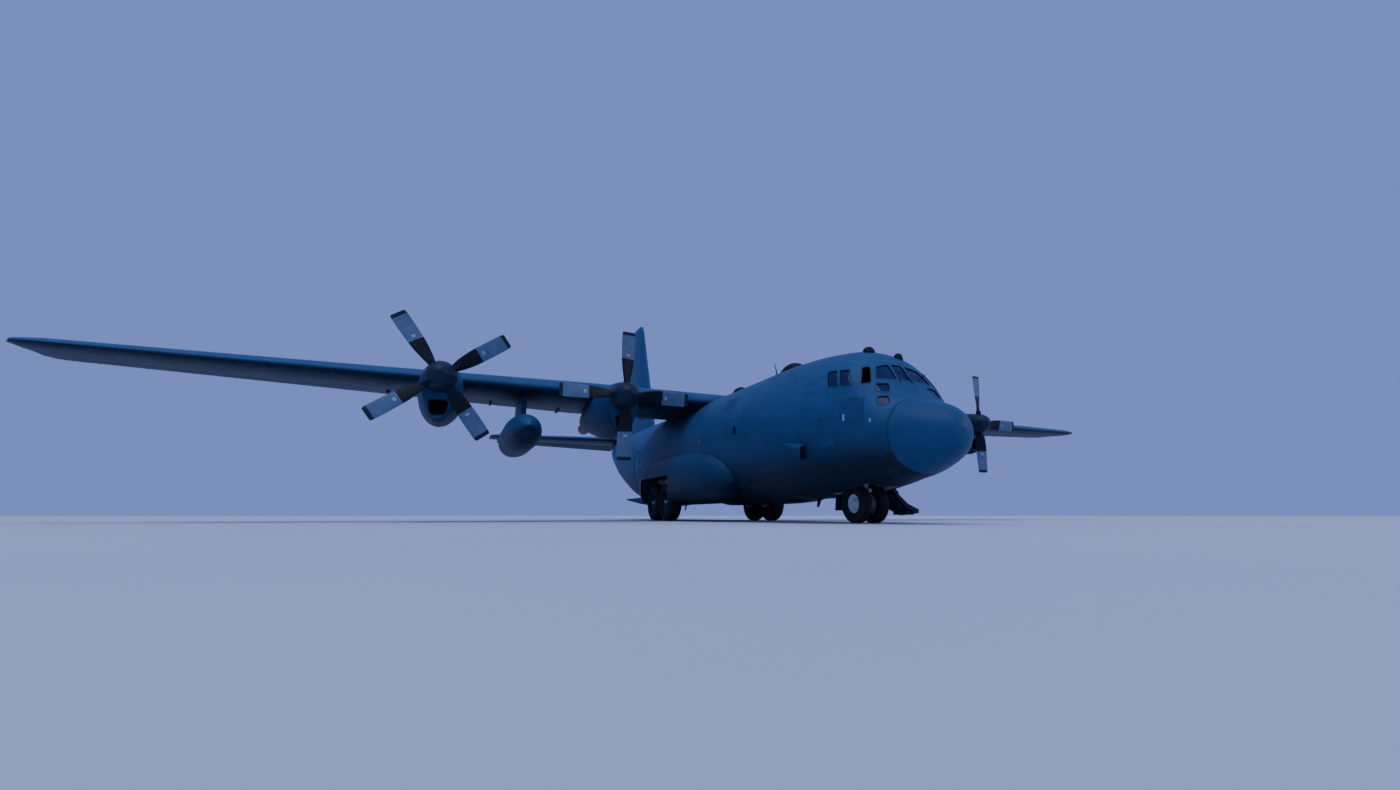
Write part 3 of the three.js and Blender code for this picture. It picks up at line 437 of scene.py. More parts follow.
def grained(name, color, roughness, metallic=0.0, scale=14.0, contrast=0.3, bump=0.15, coat=0.0):
    """A plain finish with a noise grain in its colour, roughness and height."""
    material, tree, shader = new_finish(name, color, roughness, metallic)
    place = tree.nodes.new("ShaderNodeTexCoord").outputs["Object"]
    broad = node(tree, "TexNoise", place, None, scale, 5.0, 0.6)
    fine = node(tree, "TexNoise", place, None, scale * 9, 3.0, 0.5)
    tone = calc(tree, "ADD", calc(tree, "MULTIPLY", broad, 0.7), calc(tree, "MULTIPLY", fine, 0.3))
    light = tuple(min(1.0, c * (1 + contrast) + 0.004) for c in color)
    base = blend_colors(tree, remap(tree, tone, 0.32, 0.7), dark_mix(color, 1 - contrast), light)
    tree.links.new(base, shader.inputs["Base Color"])
    rough = remap(tree, tone, 0.3, 0.7, max(0.04, roughness - 0.1), min(1.0, roughness + 0.12))
    tree.links.new(rough, shader.inputs["Roughness"])
    connect_bump(tree, shader, tone, bump, 0.002)
    if not metallic and not coat:
        shader.inputs["Specular IOR Level"].default_value = DULL_GLOSS
    if coat:
        shader.inputs["Coat Weight"].default_value = coat
    return material


AIRFRAME = (0.020, 0.074, 0.170)
GLASS_GRAIN = {"scale": 60.0, "coat": 1.0}
hull_paint = sheet_paint("hull_paint", AIRFRAME, True)
wing_paint = sheet_paint("wing_paint", AIRFRAME, False, panel=(0.42, 0.38))
cowl_paint = sheet_paint("cowl_paint", dark_mix(AIRFRAME, 0.92), False, panel=(0.33, 0.5), dirt=0.8)
control_paint = sheet_paint("control_paint", dark_mix(AIRFRAME, 0.95), False, panel=(0.9, 0.3))
patch_paint = grained("patch_paint", dark_mix(AIRFRAME, 0.74), 0.6, scale=4.0, contrast=0.18)
# A pale paint: the blades' marks, and painted glints on small plates on the hull.
faded_paint = grained("faded_paint", (0.22, 0.32, 0.43), 0.5, scale=16.0, contrast=0.25)
radome_paint = grained("radome_paint", dark_mix(AIRFRAME, 0.88), 0.46, scale=3.0, contrast=0.12)
blade_paint = grained("blade_paint", (0.085, 0.135, 0.22), 0.42, scale=7.0, contrast=0.2)
boot_rubber = grained("boot_rubber", (0.005, 0.007, 0.013), 0.5, scale=22.0, contrast=0.35)
tip_paint = grained("tip_paint", (0.012, 0.016, 0.03), 0.5, scale=12.0, contrast=0.3)
spinner_paint = grained("spinner_paint", (0.010, 0.020, 0.042), 0.4, scale=9.0, contrast=0.25)
tyre_rubber = grained("tyre_rubber", (0.022, 0.022, 0.024), 0.82, scale=18.0, contrast=0.4,
                      bump=0.4)
hub_paint = grained("hub_paint", (0.62, 0.65, 0.66), 0.4, scale=16.0, contrast=0.18)
bare_metal = grained("bare_metal", (0.36, 0.37, 0.39), 0.36, 0.9, scale=30.0, contrast=0.2)
bright_metal = grained("bright_metal", (0.72, 0.73, 0.75), 0.16, 1.0, scale=40.0, contrast=0.08)
burnt_metal = grained("burnt_metal", (0.10, 0.082, 0.07), 0.5, 0.85, scale=9.0, contrast=0.5)
dark_metal = grained("dark_metal", (0.035, 0.037, 0.042), 0.5, 0.6, scale=20.0, contrast=0.3)
inner_paint = grained("inner_paint", (0.18, 0.20, 0.15), 0.6, scale=6.0, contrast=0.22)
well_paint = grained("well_paint", (0.5, 0.5, 0.46), 0.55, scale=8.0, contrast=0.2)
black_trim = grained("black_trim", (0.006, 0.008, 0.014), 0.6, scale=25.0, contrast=0.3)
lamp_glass = grained("lamp_glass", (0.75, 0.78, 0.8), 0.08, contrast=0.05, **GLASS_GRAIN)
red_glass = grained("red_glass", (0.5, 0.02, 0.015), 0.12, contrast=0.1, **GLASS_GRAIN)
green_glass = grained("green_glass", (0.01, 0.3, 0.06), 0.12, contrast=0.1, **GLASS_GRAIN)


def dark_glass(name, color):
    """Laminated glass before an unlit room: an opaque gloss with smears in its roughness."""
    material, tree, shader = new_finish(name, color, 0.06)
    shader.inputs["IOR"].default_value = 1.5
    shader.inputs["Specular IOR Level"].default_value = 0.28
    place = tree.nodes.new("ShaderNodeTexCoord").outputs["Object"]
    smear = node(tree, "TexNoise", place, None, 9.0, 4.0, 0.6)
    tree.links.new(remap(tree, smear, 0.4, 0.75, 0.03, 0.2), shader.inputs["Roughness"])
    return material


pane_glass = dark_glass("pane_glass", (0.004, 0.014, 0.055))
print("finishes", len(bpy.data.materials))

# %% [markdown]
# ## The fuselage's form
# Each station's section is a superellipse with its own height and roundness above and below
# its waist: round on top, squarer in the belly where the load floor is, and swept up under
# the tail. The rows are the frame's own, and the curves between them are smooth.

# %% The hull as a function of angle and station
HULL = [
    [0, 16, 2010, 1995, 1980, 2, 2],
    [60, 245, 2230, 2000, 1745, 2, 2],
    [200, 460, 2420, 2000, 1535, 2, 2],
    [450, 690, 2590, 2000, 1365, 2.1, 2.1],
    [800, 890, 2735, 2000, 1225, 2.2, 2.1],
    [1190, 1075, 2850, 2000, 1120, 2.3, 2.2],
    [1330, 1140, 2900, 2020, 1090, 2.4, 2.2],
    [1600, 1290, 3210, 2100, 1050, 3, 2.3],
    [1800, 1390, 3500, 2160, 1020, 2.9, 2.3],
    [2000, 1480, 3780, 2210, 990, 2.7, 2.3],
    [2350, 1615, 4150, 2280, 930, 2.4, 2.4],
    [2800, 1765, 4360, 2360, 870, 2.2, 2.5],
    [3400, 1925, 4480, 2450, 790, 2.05, 2.6],
    [4200, 2040, 4580, 2540, 720, 2, 2.7],
    [5000, 2110, 4630, 2600, 690, 2, 2.8],
    [5890, 2140, 4660, 2660, 680, 2, 2.8],
    [6800, 2140, 4660, 2680, 680, 2, 2.8],
    [17950, 2140, 4780, 2680, 680, 2, 2.8],
    [19050, 2130, 4780, 2750, 930, 2, 3.1],
    [20150, 2090, 4780, 2850, 1340, 2, 3.3],
    [21250, 2030, 4780, 3000, 1790, 2, 3.4],
    [22400, 1910, 4780, 3160, 2250, 2, 3.2],
    [23700, 1720, 4780, 3360, 2760, 2, 2.8],
    [25000, 1480, 4770, 3600, 3230, 2, 2.4],
    [26300, 1190, 4740, 3850, 3580, 2, 2],
    [27600, 850, 4680, 4100, 3860, 2, 2],
    [28800, 480, 4580, 4270, 4090, 2, 2],
    [29790, 140, 4420, 4350, 4280, 2, 2],
]
RADOME_END, FORWARD_END, CENTRE_END, TAIL_END = 1190, 5890, 17950, 29790


def oval(angle, rows):
    """x = half |cos|^(2/n), z = waist + rise |sin|^(2/n), each with the sign of its wave."""
    half, top, waist, bottom, above, below = np.moveaxis(rows, -1, 0)
    c, s = np.cos(angle), np.sin(angle)
    power = 2 / np.where(s > 0, above, below)
    rise = np.where(s > 0, top - waist, waist - bottom)
    x = half * np.sign(c) * np.abs(c) ** power
    return x, waist + rise * np.sign(s) * np.abs(s) ** power


def hull_form(angle, station):
    """The skin's point at an angle round a station: its section from the smoothed rows."""
    x, z = oval(angle, smooth_rows(HULL, station))
    return np.stack([x, station, z], -1)


def hull_level(points):
    """Below 1 inside the hull, 1 on its skin, and more outside."""
    x, s, z = np.moveaxis(points, -1, 0)
    half, top, waist, bottom, above, below = np.moveaxis(smooth_rows(HULL, s), -1, 0)
    rise = np.where(z > waist, top - waist, waist - bottom)
    power = np.where(z > waist, above, below)
    return np.abs(x / half) ** power + np.abs((z - waist) / rise) ** power


def hull_normal(points):
    """The level's slope in x, y and z, measured 2 mm to each side and brought to length 1."""
    shift = np.eye(3) * 2.0
    slopes = [hull_level(points + d) - hull_level(points - d) for d in shift]
    normal = np.stack(slopes, -1)
    return normal / np.linalg.norm(normal, axis=-1, keepdims=True)


def raised(points, height):
    """Points moved out from the hull along its normal by a height, or in by a negative one."""
    return points + hull_normal(points) * np.asarray(height, float)[..., None]


NOSE_SEARCH, HALVINGS = (1150.0, 2700.0), 26


def on_hull(view, a, b):
    """The skin's point behind a drawn one: (station, z) seen from a side, (x, z) from the
    front, or (x, station) from above or below. A superellipse gives it at once, but from the
    front the station is found by halving."""
    a, b = np.asarray(a, float), np.asarray(b, float)
    if view == "front":
        near, far = np.full(a.shape, NOSE_SEARCH[0]), np.full(a.shape, NOSE_SEARCH[1])
        for _ in range(HALVINGS):
            middle = (near + far) / 2
            outside = hull_level(np.stack([a, middle, b], -1)) > 1
            near, far = np.where(outside, middle, near), np.where(outside, far, middle)
        return np.stack([a, (near + far) / 2, b], -1)
    rows = smooth_rows(HULL, a if view in ("port", "starboard") else b)
    half, top, waist, bottom, above, below = np.moveaxis(rows, -1, 0)
    if view in ("port", "starboard"):
        rise = np.where(b > waist, top - waist, waist - bottom)
        power = np.where(b > waist, above, below)
        left = np.clip(1 - np.abs((b - waist) / rise) ** power, 0, 1)
        return np.stack([half * left ** (1 / power) * (1 if view == "port" else -1), a, b], -1)
    up = view == "top"
    power, rise = (above, top - waist) if up else (below, bottom - waist)
    left = np.clip(1 - np.abs(a / half) ** power, 0, 1)
    return np.stack([a, b, waist + rise * left ** (1 / power)], -1)


print("the hull is", 2 * max(row[1] for row in HULL), "mm wide at full size")

# %% [markdown]
# ## Cutting openings in a surface
# A window or doorway could be cut with a boolean, which leaves long thin faces. Here the
# grid's own points slide onto the cut's edge first, and only then are the faces inside it
# dropped, so the edge stays exact and the surface stays even.

# %% Outlines, signed distances and trimmed skins


def rounded(corners, radius=60.0, spacing=45.0):
    """A closed outline whose corners are parabolas, with points at most a spacing apart."""
    corners = np.array(corners, float)
    points = []
    for i, corner in enumerate(corners):
        ways = [corners[i - 1] - corner, corners[(i + 1) % len(corners)] - corner]
        ends = [corner + w * min(radius / np.linalg.norm(w), 0.45) for w in ways]
        t = np.linspace(0, 1, 7)[:, None]
        points.append((1 - t) ** 2 * ends[0] + 2 * t * (1 - t) * corner + t**2 * ends[1])
    path = np.vstack(points)
    following = np.roll(path, -1, 0)
    steps = np.maximum(np.ceil(np.linalg.norm(following - path, axis=1) / spacing), 1).astype(int)
    shares = [np.linspace(0, 1, n, endpoint=False)[:, None] for n in steps]
    return np.vstack([p + (q - p) * s for p, q, s in zip(path, following, shares)])


def outside(outline, a, b):
    """Distance of points from a closed outline, negative inside it."""
    start = np.asarray(outline, float)
    edge = np.roll(start, -1, 0) - start
    point = np.stack([a, b], -1)[..., None, :]
    t = np.clip(((point - start) * edge).sum(-1) / (edge**2).sum(-1), 0, 1)
    away = np.linalg.norm(point - start - t[..., None] * edge, axis=-1).min(-1)
    end = start + edge
    spans = (start[:, 1] > point[..., 1]) != (end[:, 1] > point[..., 1])
    rise = np.where(edge[:, 1] == 0, 1e-9, edge[:, 1])
    reach = start[:, 0] + (point[..., 1] - start[:, 1]) * edge[:, 0] / rise
    inside = (spans & (point[..., 0] < reach)).sum(-1) % 2 == 1
    return np.where(inside, -away, away)


def trimmed_skin(form, around, along, keep):
    """A grid of form(around, along) with the part where keep is negative cut away. On every
    grid edge that the cut crosses, the nearer point slides along the edge onto the cut. A
    cell that then loses one corner is kept as a triangle."""
    turn, place = np.meshgrid(around, along, indexing="ij")
    moved = np.zeros(turn.shape, bool)
    for axis in (0, 1, 0, 1):
        value = np.where(moved, 0.0, keep(form(turn, place)))
        low = (slice(0, -1), slice(None)) if axis == 0 else (slice(None), slice(0, -1))
        high = (slice(1, None), slice(None)) if axis == 0 else (slice(None), slice(1, None))
        first, second = value[low], value[high]
        crossing = first * second < 0
        share = np.where(crossing, first / np.where(crossing, first - second, 1), 0)
        slide_low = crossing & (share < 0.5)
        slide_high = crossing & ~slide_low
        for grid in (turn, place):
            before, after = grid[low].copy(), grid[high].copy()
            grid[low] = np.where(slide_low, before + share * (after - before), grid[low])
            take = slide_high & ~moved[high]
            grid[high] = np.where(take, before + share * (after - before), grid[high])
        moved[low] |= slide_low
        moved[high] |= slide_high
    value = np.where(moved, 0.0, keep(form(turn, place))).ravel()
    points = form(turn, place).reshape(-1, 3)
    faces = grid_faces(*turn.shape)
    good = value[faces] >= -1e-6
    whole = faces[good.all(1)]
    three = good.sum(1) == 3
    gone = (~good[three]).argmax(1)[:, None]
    corners = np.take_along_axis(faces[three], (gone + 1 + np.arange(4)) % 4, 1)
    corners[:, 3] = -1
    faces = np.vstack([whole, corners])
    used, back = np.unique(faces, return_inverse=True)
    back = back.reshape(faces.shape)
    if used[0] == -1:
        return points[used[1:]], back - 1
    return points[used], back


def spread(low, high, spacing, *marks):
    """Even places from low to high that also meet every mark between them."""
    stops = np.unique([low, high, *[m for m in marks if low < m < high]])
    parts = [
        np.linspace(a, b, max(int(np.ceil((b - a) / spacing)), 1), endpoint=False)
        for a, b in zip(stops[:-1], stops[1:])
    ]
    return np.concatenate([*parts, [high]])


print("a rounded square has", len(rounded([[0, 0], [900, 0], [900, 900], [0, 900]])), "points")

# %% [markdown]
# ## The skin of the nose, hold and tail
# The real fuselage is built in lengths that bolt together at frames, and the model keeps
# them. The forward length has the flight deck's windows, the crew doorway and the nose gear's
# bay cut in it; the middle one the wheel wells; the aft one is open below for the ramp.

# %% Cut and make the fuselage
WINDOWS = [
    ["front", [-170, 3400], [170, 3400], [170, 3850], [-170, 3850]],
    ["front", [250, 3400], [830, 3380], [640, 3740], [250, 3840]],
    ["front", [1000, 3250], [1210, 3230], [980, 3700], [780, 3740]],
    ["front", [690, 3020], [1000, 3020], [900, 3230], [560, 3260]],
    ["front", [850, 2680], [1090, 2670], [1030, 2880], [760, 2900]],
    ["side", [2040, 3200], [2330, 3235], [2560, 3690], [2300, 3660]],
    ["side", [2400, 3240], [2690, 3270], [2920, 3720], [2630, 3700]],
]
OPEN_WINDOW = 2
window_outlines = [(view, rounded(corners, 45, 30)) for view, *corners in WINDOWS]
CREW_DOORWAY = rounded([[4122, 906], [4938, 906], [4938, 1988], [4122, 1988]], 60)
NOSE_BAY = rounded([[-630, 2550], [630, 2550], [630, 4110], [-630, 4110]], 40)
RAMP_OPENING = [
    [1514, 17940], [1514, 21230], [946, 25360], [-946, 25360], [-1514, 21230], [-1514, 17940],
]
SIDE_DOOR = rounded([[16990, 1150], [17890, 1150], [17890, 3010], [16990, 3010]], 90)
WELL_FROM, WELL_TO, WELL_INNER, WELL_TOP = 11550, 15000, 1600, 1630
BAY_BELOW, WINDSCREEN_BEFORE, RAMP_CUT_BELOW = 1500, 2500, 3900
RADOME_WALL, FORWARD_WALL, CENTRE_WALL, AFT_WALL = 45, 34, 90, 22


def forward_cut(points):
    """The least of the signed distances from the doorway, the bay and each window."""
    x, s, z = np.moveaxis(points, -1, 0)
    cuts = [np.maximum(outside(CREW_DOORWAY, s, z), -x)]
    cuts.append(np.maximum(outside(NOSE_BAY, x, s), z - BAY_BELOW))
    for view, outline in window_outlines:
        if view == "front":
            cuts.append(np.maximum(outside(outline, np.abs(x), z), s - WINDSCREEN_BEFORE))
        else:
            cuts.append(outside(outline, s, z))
    return np.min(cuts, axis=0)


def well_cut(points):
    """Negative in the wheel well's box: outboard of its inner wall and below its roof."""
    x, s, z = np.moveaxis(points, -1, 0)
    return np.max([WELL_INNER - np.abs(x), z - WELL_TOP, WELL_FROM - s, s - WELL_TO], axis=0)


def centre_cut(points):
    """The lesser of the distances from the wheel wells and the side doors."""
    return np.minimum(well_cut(points), outside(SIDE_DOOR, points[..., 1], points[..., 2]))


def aft_cut(points):
    """Negative below the hull within the ramp's and cargo door's outline from above."""
    x, s, z = np.moveaxis(points, -1, 0)
    return np.maximum(outside(RAMP_OPENING, x, s), z - RAMP_CUT_BELOW)


def never_cut(points):
    """1 everywhere, for a surface with no opening."""
    return np.ones(points.shape[:-1])


def turns(count):
    """Angles of a whole turn that starts and ends at the keel, where the seam is hidden."""
    return np.linspace(0, 2 * np.pi, count + 1) - np.pi / 2


SEAM_GAP, FINE_TO = 3, 2800
radome_rows = RADOME_END * np.linspace(0, 1, 40) ** 2
radome_rows = np.append(radome_rows[:-1], RADOME_END - SEAM_GAP)
radome = trimmed_skin(hull_form, turns(120), radome_rows, never_cut)
make_piece("radome_shell", [radome], radome_paint, replaces=["radome"], wall=RADOME_WALL)
fine_rows = spread(RADOME_END + SEAM_GAP, FINE_TO, 26)
forward_rows = np.append(fine_rows, spread(FINE_TO + 30, FORWARD_END, 48))
forward = trimmed_skin(hull_form, turns(260), forward_rows, forward_cut)
make_piece("forward_skin", [forward], hull_paint, replaces=["fuselage_forward"], wall=FORWARD_WALL)
centre = trimmed_skin(hull_form, turns(180), spread(FORWARD_END, CENTRE_END, 75), centre_cut)
make_piece("centre_skin", [centre], hull_paint, replaces=["fuselage_centre"], wall=CENTRE_WALL)
aft = trimmed_skin(hull_form, turns(220), spread(CENTRE_END, TAIL_END, 70), aft_cut)
make_piece("aft_skin", [aft], hull_paint, replaces=["fuselage_aft"], wall=AFT_WALL)

# %% [markdown]
# ## Windows, their frames, the linings of their openings and the wipers
# A flight deck's panes are curved with the skin and sit a little inside it, each in a dark
# frame. The wall of each opening is lined with a black strip, a painted shade for the dim recess.
# The pane is drawn flat in the view where its hole was cut, then every point is thrown
# back onto the hull, so it follows the curve by itself.

# %% Panes and frames


def bilinear(corners, count=12, grow=0.0):
    """A grid between four corners, each first moved outwards from their middle."""
    corners = np.array(corners, float)
    away = corners - corners.mean(0)
    corners = corners + np.sign(away) * grow
    u, v = np.meshgrid(np.linspace(0, 1, count), np.linspace(0, 1, count), indexing="ij")
    weights = [(1 - u) * (1 - v), u * (1 - v), u * v, (1 - u) * v]
    return sum(w[..., None] * c for w, c in zip(weights, corners))


def hull_patch(view, corners, top, bottom, count=12, grow=0.0):
    """A plate on the hull between two heights over its skin."""
    drawn = bilinear(corners, count, grow)
    base = on_hull(view, drawn[..., 0], drawn[..., 1])
    return slab(*[raised(base, np.full(base.shape[:2], height)) for height in (top, bottom)])


def edge_normals(outline):
    """At each point of a closed outline, the unit vector across the chord of its two
    neighbours."""
    along = np.roll(outline, -1, 0) - np.roll(outline, 1, 0)
    normal = np.stack([along[:, 1], -along[:, 0]], -1)
    return normal / np.maximum(np.linalg.norm(normal, axis=1, keepdims=True), 1e-9)


def hull_strip(view, outline, width, height, sunk=8.0):
    """A flat-topped strip round an outline drawn in a view, thrown onto the hull. Its section
    is six points across, carried along the outline's own normals."""
    outline = np.asarray(outline, float)
    normal = edge_normals(outline)
    half, soft = width / 2, min(height * 0.6, width / 4)
    section = [(-half, -sunk), (-half, height - soft), (-half + soft, height),
               (half - soft, height), (half, height - soft), (half, -sunk)]
    rings = []
    for side, up in section:
        line = outline + normal * side
        base = on_hull(view, line[:, 0], line[:, 1])
        rings.append(raised(base, np.full(len(base), up)))
    return np.array(rings).reshape(-1, 3), grid_faces(len(section), len(outline), True, True)


def grown(outline, width):
    """An outline moved outwards by a width, away from its middle."""
    outline = np.asarray(outline, float)
    normal = edge_normals(outline)
    away = outline - outline.mean(0)
    sign = np.sign(np.sum(normal * away, axis=1).sum())
    return outline + normal * sign * width


PANE_SUNK, PANE_THICK, PANE_OVERLAP = 22, 16, 14
FRAME_WIDE, FRAME_OUT, REVEAL_WIDE, REVEAL_IN, REVEAL_DEEP = 30, 11, 14, 4, 100
panes, frames, shaded_reveals = [], [], []
for number, ((view, *corners), (_, outline)) in enumerate(zip(WINDOWS, window_outlines)):
    centre_pane = view == "front" and corners[0][0] < 0
    for side in (1,) if centre_pane else (1, -1):
        seen = view if view == "front" else ("port" if side > 0 else "starboard")
        flip = [side, 1] if view == "front" else [1, 1]
        if side > 0 or number != OPEN_WINDOW:
            pane = hull_patch(seen, np.array(corners) * flip, -PANE_SUNK,
                              -PANE_SUNK - PANE_THICK, grow=PANE_OVERLAP)
            panes.append(pane)
        frame_line, reveal_line = grown(outline, FRAME_OUT), grown(outline, -REVEAL_IN)
        frames.append(hull_strip(seen, frame_line * flip, FRAME_WIDE, 6, sunk=20))
        # Painted shade: a black strip lines the wall of each opening, 100 mm deep, where the recess
        # is dim.
        shaded_reveals.append(hull_strip(seen, reveal_line * flip, REVEAL_WIDE, 2, sunk=REVEAL_DEEP))
make_piece("flight_deck_panes", panes, pane_glass, replaces=["flight_deck_glazing"])
make_piece("flight_deck_window_frames", frames, cowl_paint)
make_piece("flight_deck_window_seals", shaded_reveals, black_trim)
WIPERS = [[[-190, 3330], [-60, 3720]], [[190, 3330], [60, 3720]], [[760, 3330], [560, 3640]]]
wipers = []
for foot, tip in WIPERS:
    line = np.linspace(foot, tip, 12)
    wipers.append(tube(raised(on_hull("front", line[:, 0], line[:, 1]), np.full(12, 14.0)), 9, 8))
make_piece("windscreen_wipers", wipers, black_trim)

# %% [markdown]
# ## Portholes along the hold
# The hold has a few round windows a side. They are small, so no hole is cut: each is a
# low lens on the skin with a ring round it, and its dark glass does the rest.

# %% Portholes along the hold
PORTHOLES = [[6900, 2700], [9670, 2660], [16850, 2430], [20100, 3050]]
PORTHOLE_RADIUS, LENS_RADIUS, LENS_BULGE, PORTHOLE_SIDES = 150, 148, 5, 40
porthole_glass, porthole_rings = [], []
turn = np.linspace(0, 2 * np.pi, PORTHOLE_SIDES, endpoint=False)
reach = np.linspace(1.0, 0.0, 6)[:, None]
bulge = LENS_BULGE * (1 - reach[:, 0] ** 2)[:, None] * np.ones(PORTHOLE_SIDES)
for station, height in PORTHOLES:
    for view in ("port", "starboard"):
        circle = np.column_stack([station + PORTHOLE_RADIUS * np.cos(turn),
                                  height + PORTHOLE_RADIUS * np.sin(turn)])
        porthole_rings.append(hull_strip(view, circle, 50, 9))
        a = station + LENS_RADIUS * reach * np.cos(turn)
        b = height + LENS_RADIUS * reach * np.sin(turn)
        base = on_hull(view, a, b)
        top, low = raised(base, bulge + 2), raised(base, np.full(base.shape[:2], -10.0))
        shell = np.concatenate([top[::-1], low])
        faces = grid_faces(len(shell), PORTHOLE_SIDES, False, True)
        porthole_glass.append((shell.reshape(-1, 3), faces))
make_piece("portholes", porthole_glass, pane_glass)
make_piece("porthole_rings", porthole_rings, cowl_paint)

# %% [markdown]
# ## Doors in the hold's sides
# Behind each gear fairing is a side door, shut. It is cut from the same surface as the
# skin round it, a finger's width smaller, with a seal round it.

# %% Side doors, seals and grab rails
DOOR_LEAF = rounded([[17002, 1162], [17878, 1162], [17878, 2998], [17002, 2998]], 80)
DOOR_WALL, DOOR_SWEEP = 60, 2.6


def door_cut(points):
    """Negative outside the leaf, so that only the leaf is kept."""
    return -outside(DOOR_LEAF, points[..., 1], points[..., 2])


for name, middle in (("port", 0), ("starboard", np.pi)):
    angles = middle + np.linspace(-DOOR_SWEEP / 2, DOOR_SWEEP / 2, 90)
    door = trimmed_skin(hull_form, angles, spread(16970, 17910, 30), door_cut)
    make_piece("side_door_skin_" + name, [door], hull_paint, replaces=["side_door_" + name],
               wall=DOOR_WALL)
seals = [hull_strip(view, SIDE_DOOR, 18, 3) for view in ("port", "starboard")]
seals.append(hull_strip("port", CREW_DOORWAY, 26, 4))
make_piece("door_seals", seals, black_trim)


def side_handle(view, station, height, length):
    """An upright bar that leaves the hull, runs 34 mm off it and comes back."""
    line = np.linspace([station, height - length / 2], [station, height + length / 2], 7)
    out = np.array([2, 26, 34, 34, 34, 26, 2.0])
    return tube(raised(on_hull(view, line[:, 0], line[:, 1]), out), 7, 8)


HANDLES = [["starboard", 17110, 2050, 170], ["port", 17110, 2050, 170],
           ["port", 4070, 1500, 300], ["port", 4990, 1500, 300]]
make_piece("grab_handles", [side_handle(*row) for row in HANDLES], bare_metal)

# %% [markdown]
# ## Inside the hold and on the ramp
# Through the open tail the hold's ribs show, and the ramp carries roller rails and anti-slip
# battens. Each rib is a tube along the hull's own curve, and each rail is one softened box,
# because both are plain extrusions on the real aircraft. The ramp's ride its body.

# %% Ribs, rails and battens
RIB_SPACING, RIB_DEPTH, RIB_RADIUS, STRINGER_RADIUS, FLOOR_TOP = 510, 118.0, 24, 14, 1040
HOLD_FROM, HOLD_TO = 6300, 17850
STRINGER_ANGLES = [0.3, 0.75, 1.2, np.pi - 1.2, np.pi - 0.75, np.pi - 0.3]
ribs = []
for station in np.arange(HOLD_FROM + 100, HOLD_TO - 50, RIB_SPACING):
    arc = hull_form(np.linspace(-0.35, np.pi + 0.35, 46), np.full(46, float(station)))
    arc = raised(arc, np.full(46, -RIB_DEPTH))
    ribs.append(tube(arc[arc[:, 2] > FLOOR_TOP + 60], RIB_RADIUS, 8))
along_hold = np.linspace(HOLD_FROM, HOLD_TO, 30)
for turn in STRINGER_ANGLES:
    line = raised(hull_form(np.full(30, turn), along_hold), np.full(30, -RIB_DEPTH))
    ribs.append(tube(line, STRINGER_RADIUS, 8))
make_piece("hold_ribs", ribs, inner_paint)
RAMP_FROM, RAMP_TO, RAMP_HALF, BATTEN_SPACING = 18120, 21400, 1430, 250
RAIL_PLACES, RAIL_HALF = (-980, -420, 420, 980), 45


def rails_along(start, end, tall):
    """Four bars on the floor between two stations."""
    return [soft_box([x - RAIL_HALF, start, FLOOR_TOP], [x + RAIL_HALF, end, FLOOR_TOP + tall])
            for x in RAIL_PLACES]


battens = [soft_box([-RAMP_HALF, s, FLOOR_TOP], [RAMP_HALF, s + 26, FLOOR_TOP + 9])
           for s in np.arange(RAMP_FROM + 90, RAMP_TO - 60, BATTEN_SPACING)]
make_piece("ramp_rails", rails_along(RAMP_FROM, RAMP_TO, 26), bare_metal, "tail_ramp")
make_piece("ramp_battens", battens, black_trim, "tail_ramp")
make_piece("floor_rails", rails_along(HOLD_FROM + 200, HOLD_TO, 22), bare_metal)

# %% [markdown]
# ## Patches, vents and fairings on the nose
# Beside the flight deck are darker repainted panels and small raised vents, and low on the
# starboard side is an air scoop. The pale paint on the vents beside the flight deck is a painted
# glint, and a pale square on a porthole's glass is a painted glint too. Each plate is thin and
# follows the hull's curve.

# %% Plates on the hull's side
DARK_PATCHES = [
    [[1640, 2050], [2430, 2130], [2200, 2920], [1710, 2890]],
    [[2470, 1810], [2860, 1810], [2860, 2500], [2470, 2500]],
    [[7350, 3500], [8200, 3500], [8200, 3900], [7350, 3900]],
]
SIDES = ("starboard", "port")
patches = [hull_patch(view, corners, 2.5, -6, 14) for corners in DARK_PATCHES for view in SIDES]
make_piece("dark_patches", patches, patch_paint)
# The first two rows are small plates on the nose whose pale paint is a painted glint; the third is
# a pale square on a porthole's glass, a painted glint; the last is a tall pale strip on the side
# door.
PALE_VENTS_AND_GLINTS = [[2160, 2440, 26, 75], [1550, 2310, 20, 45], [9740, 2640, 22, 22],
              [17370, 2500, 26, 240]]
vents_and_glints = []
for station, height, wide, tall in PALE_VENTS_AND_GLINTS:
    box = [[station - wide, height - tall], [station + wide, height - tall],
           [station + wide, height + tall], [station - wide, height + tall]]
    vents_and_glints += [hull_patch(view, box, 9, -6, 6) for view in SIDES]
make_piece("side_vents", vents_and_glints, faded_paint)


def fairing(view, a_range, b_range, height, power=4.0, count=(26, 18)):
    """A blister on the hull: its height falls away at the edges as (1-u^p)(1-v^p)."""
    u, v = np.meshgrid(np.linspace(-1, 1, count[0]), np.linspace(-1, 1, count[1]), indexing="ij")
    u, v = np.sin(u * np.pi / 2), np.sin(v * np.pi / 2)
    a = np.mean(a_range) + u * np.ptp(a_range) / 2
    b = np.mean(b_range) + v * np.ptp(b_range) / 2
    lift = height * (1 - np.abs(u) ** power) ** 0.6 * (1 - np.abs(v) ** power) ** 0.6
    base = on_hull(view, a, b)
    return slab(raised(base, lift + 0.5), raised(base, np.full(lift.shape, -14.0)))


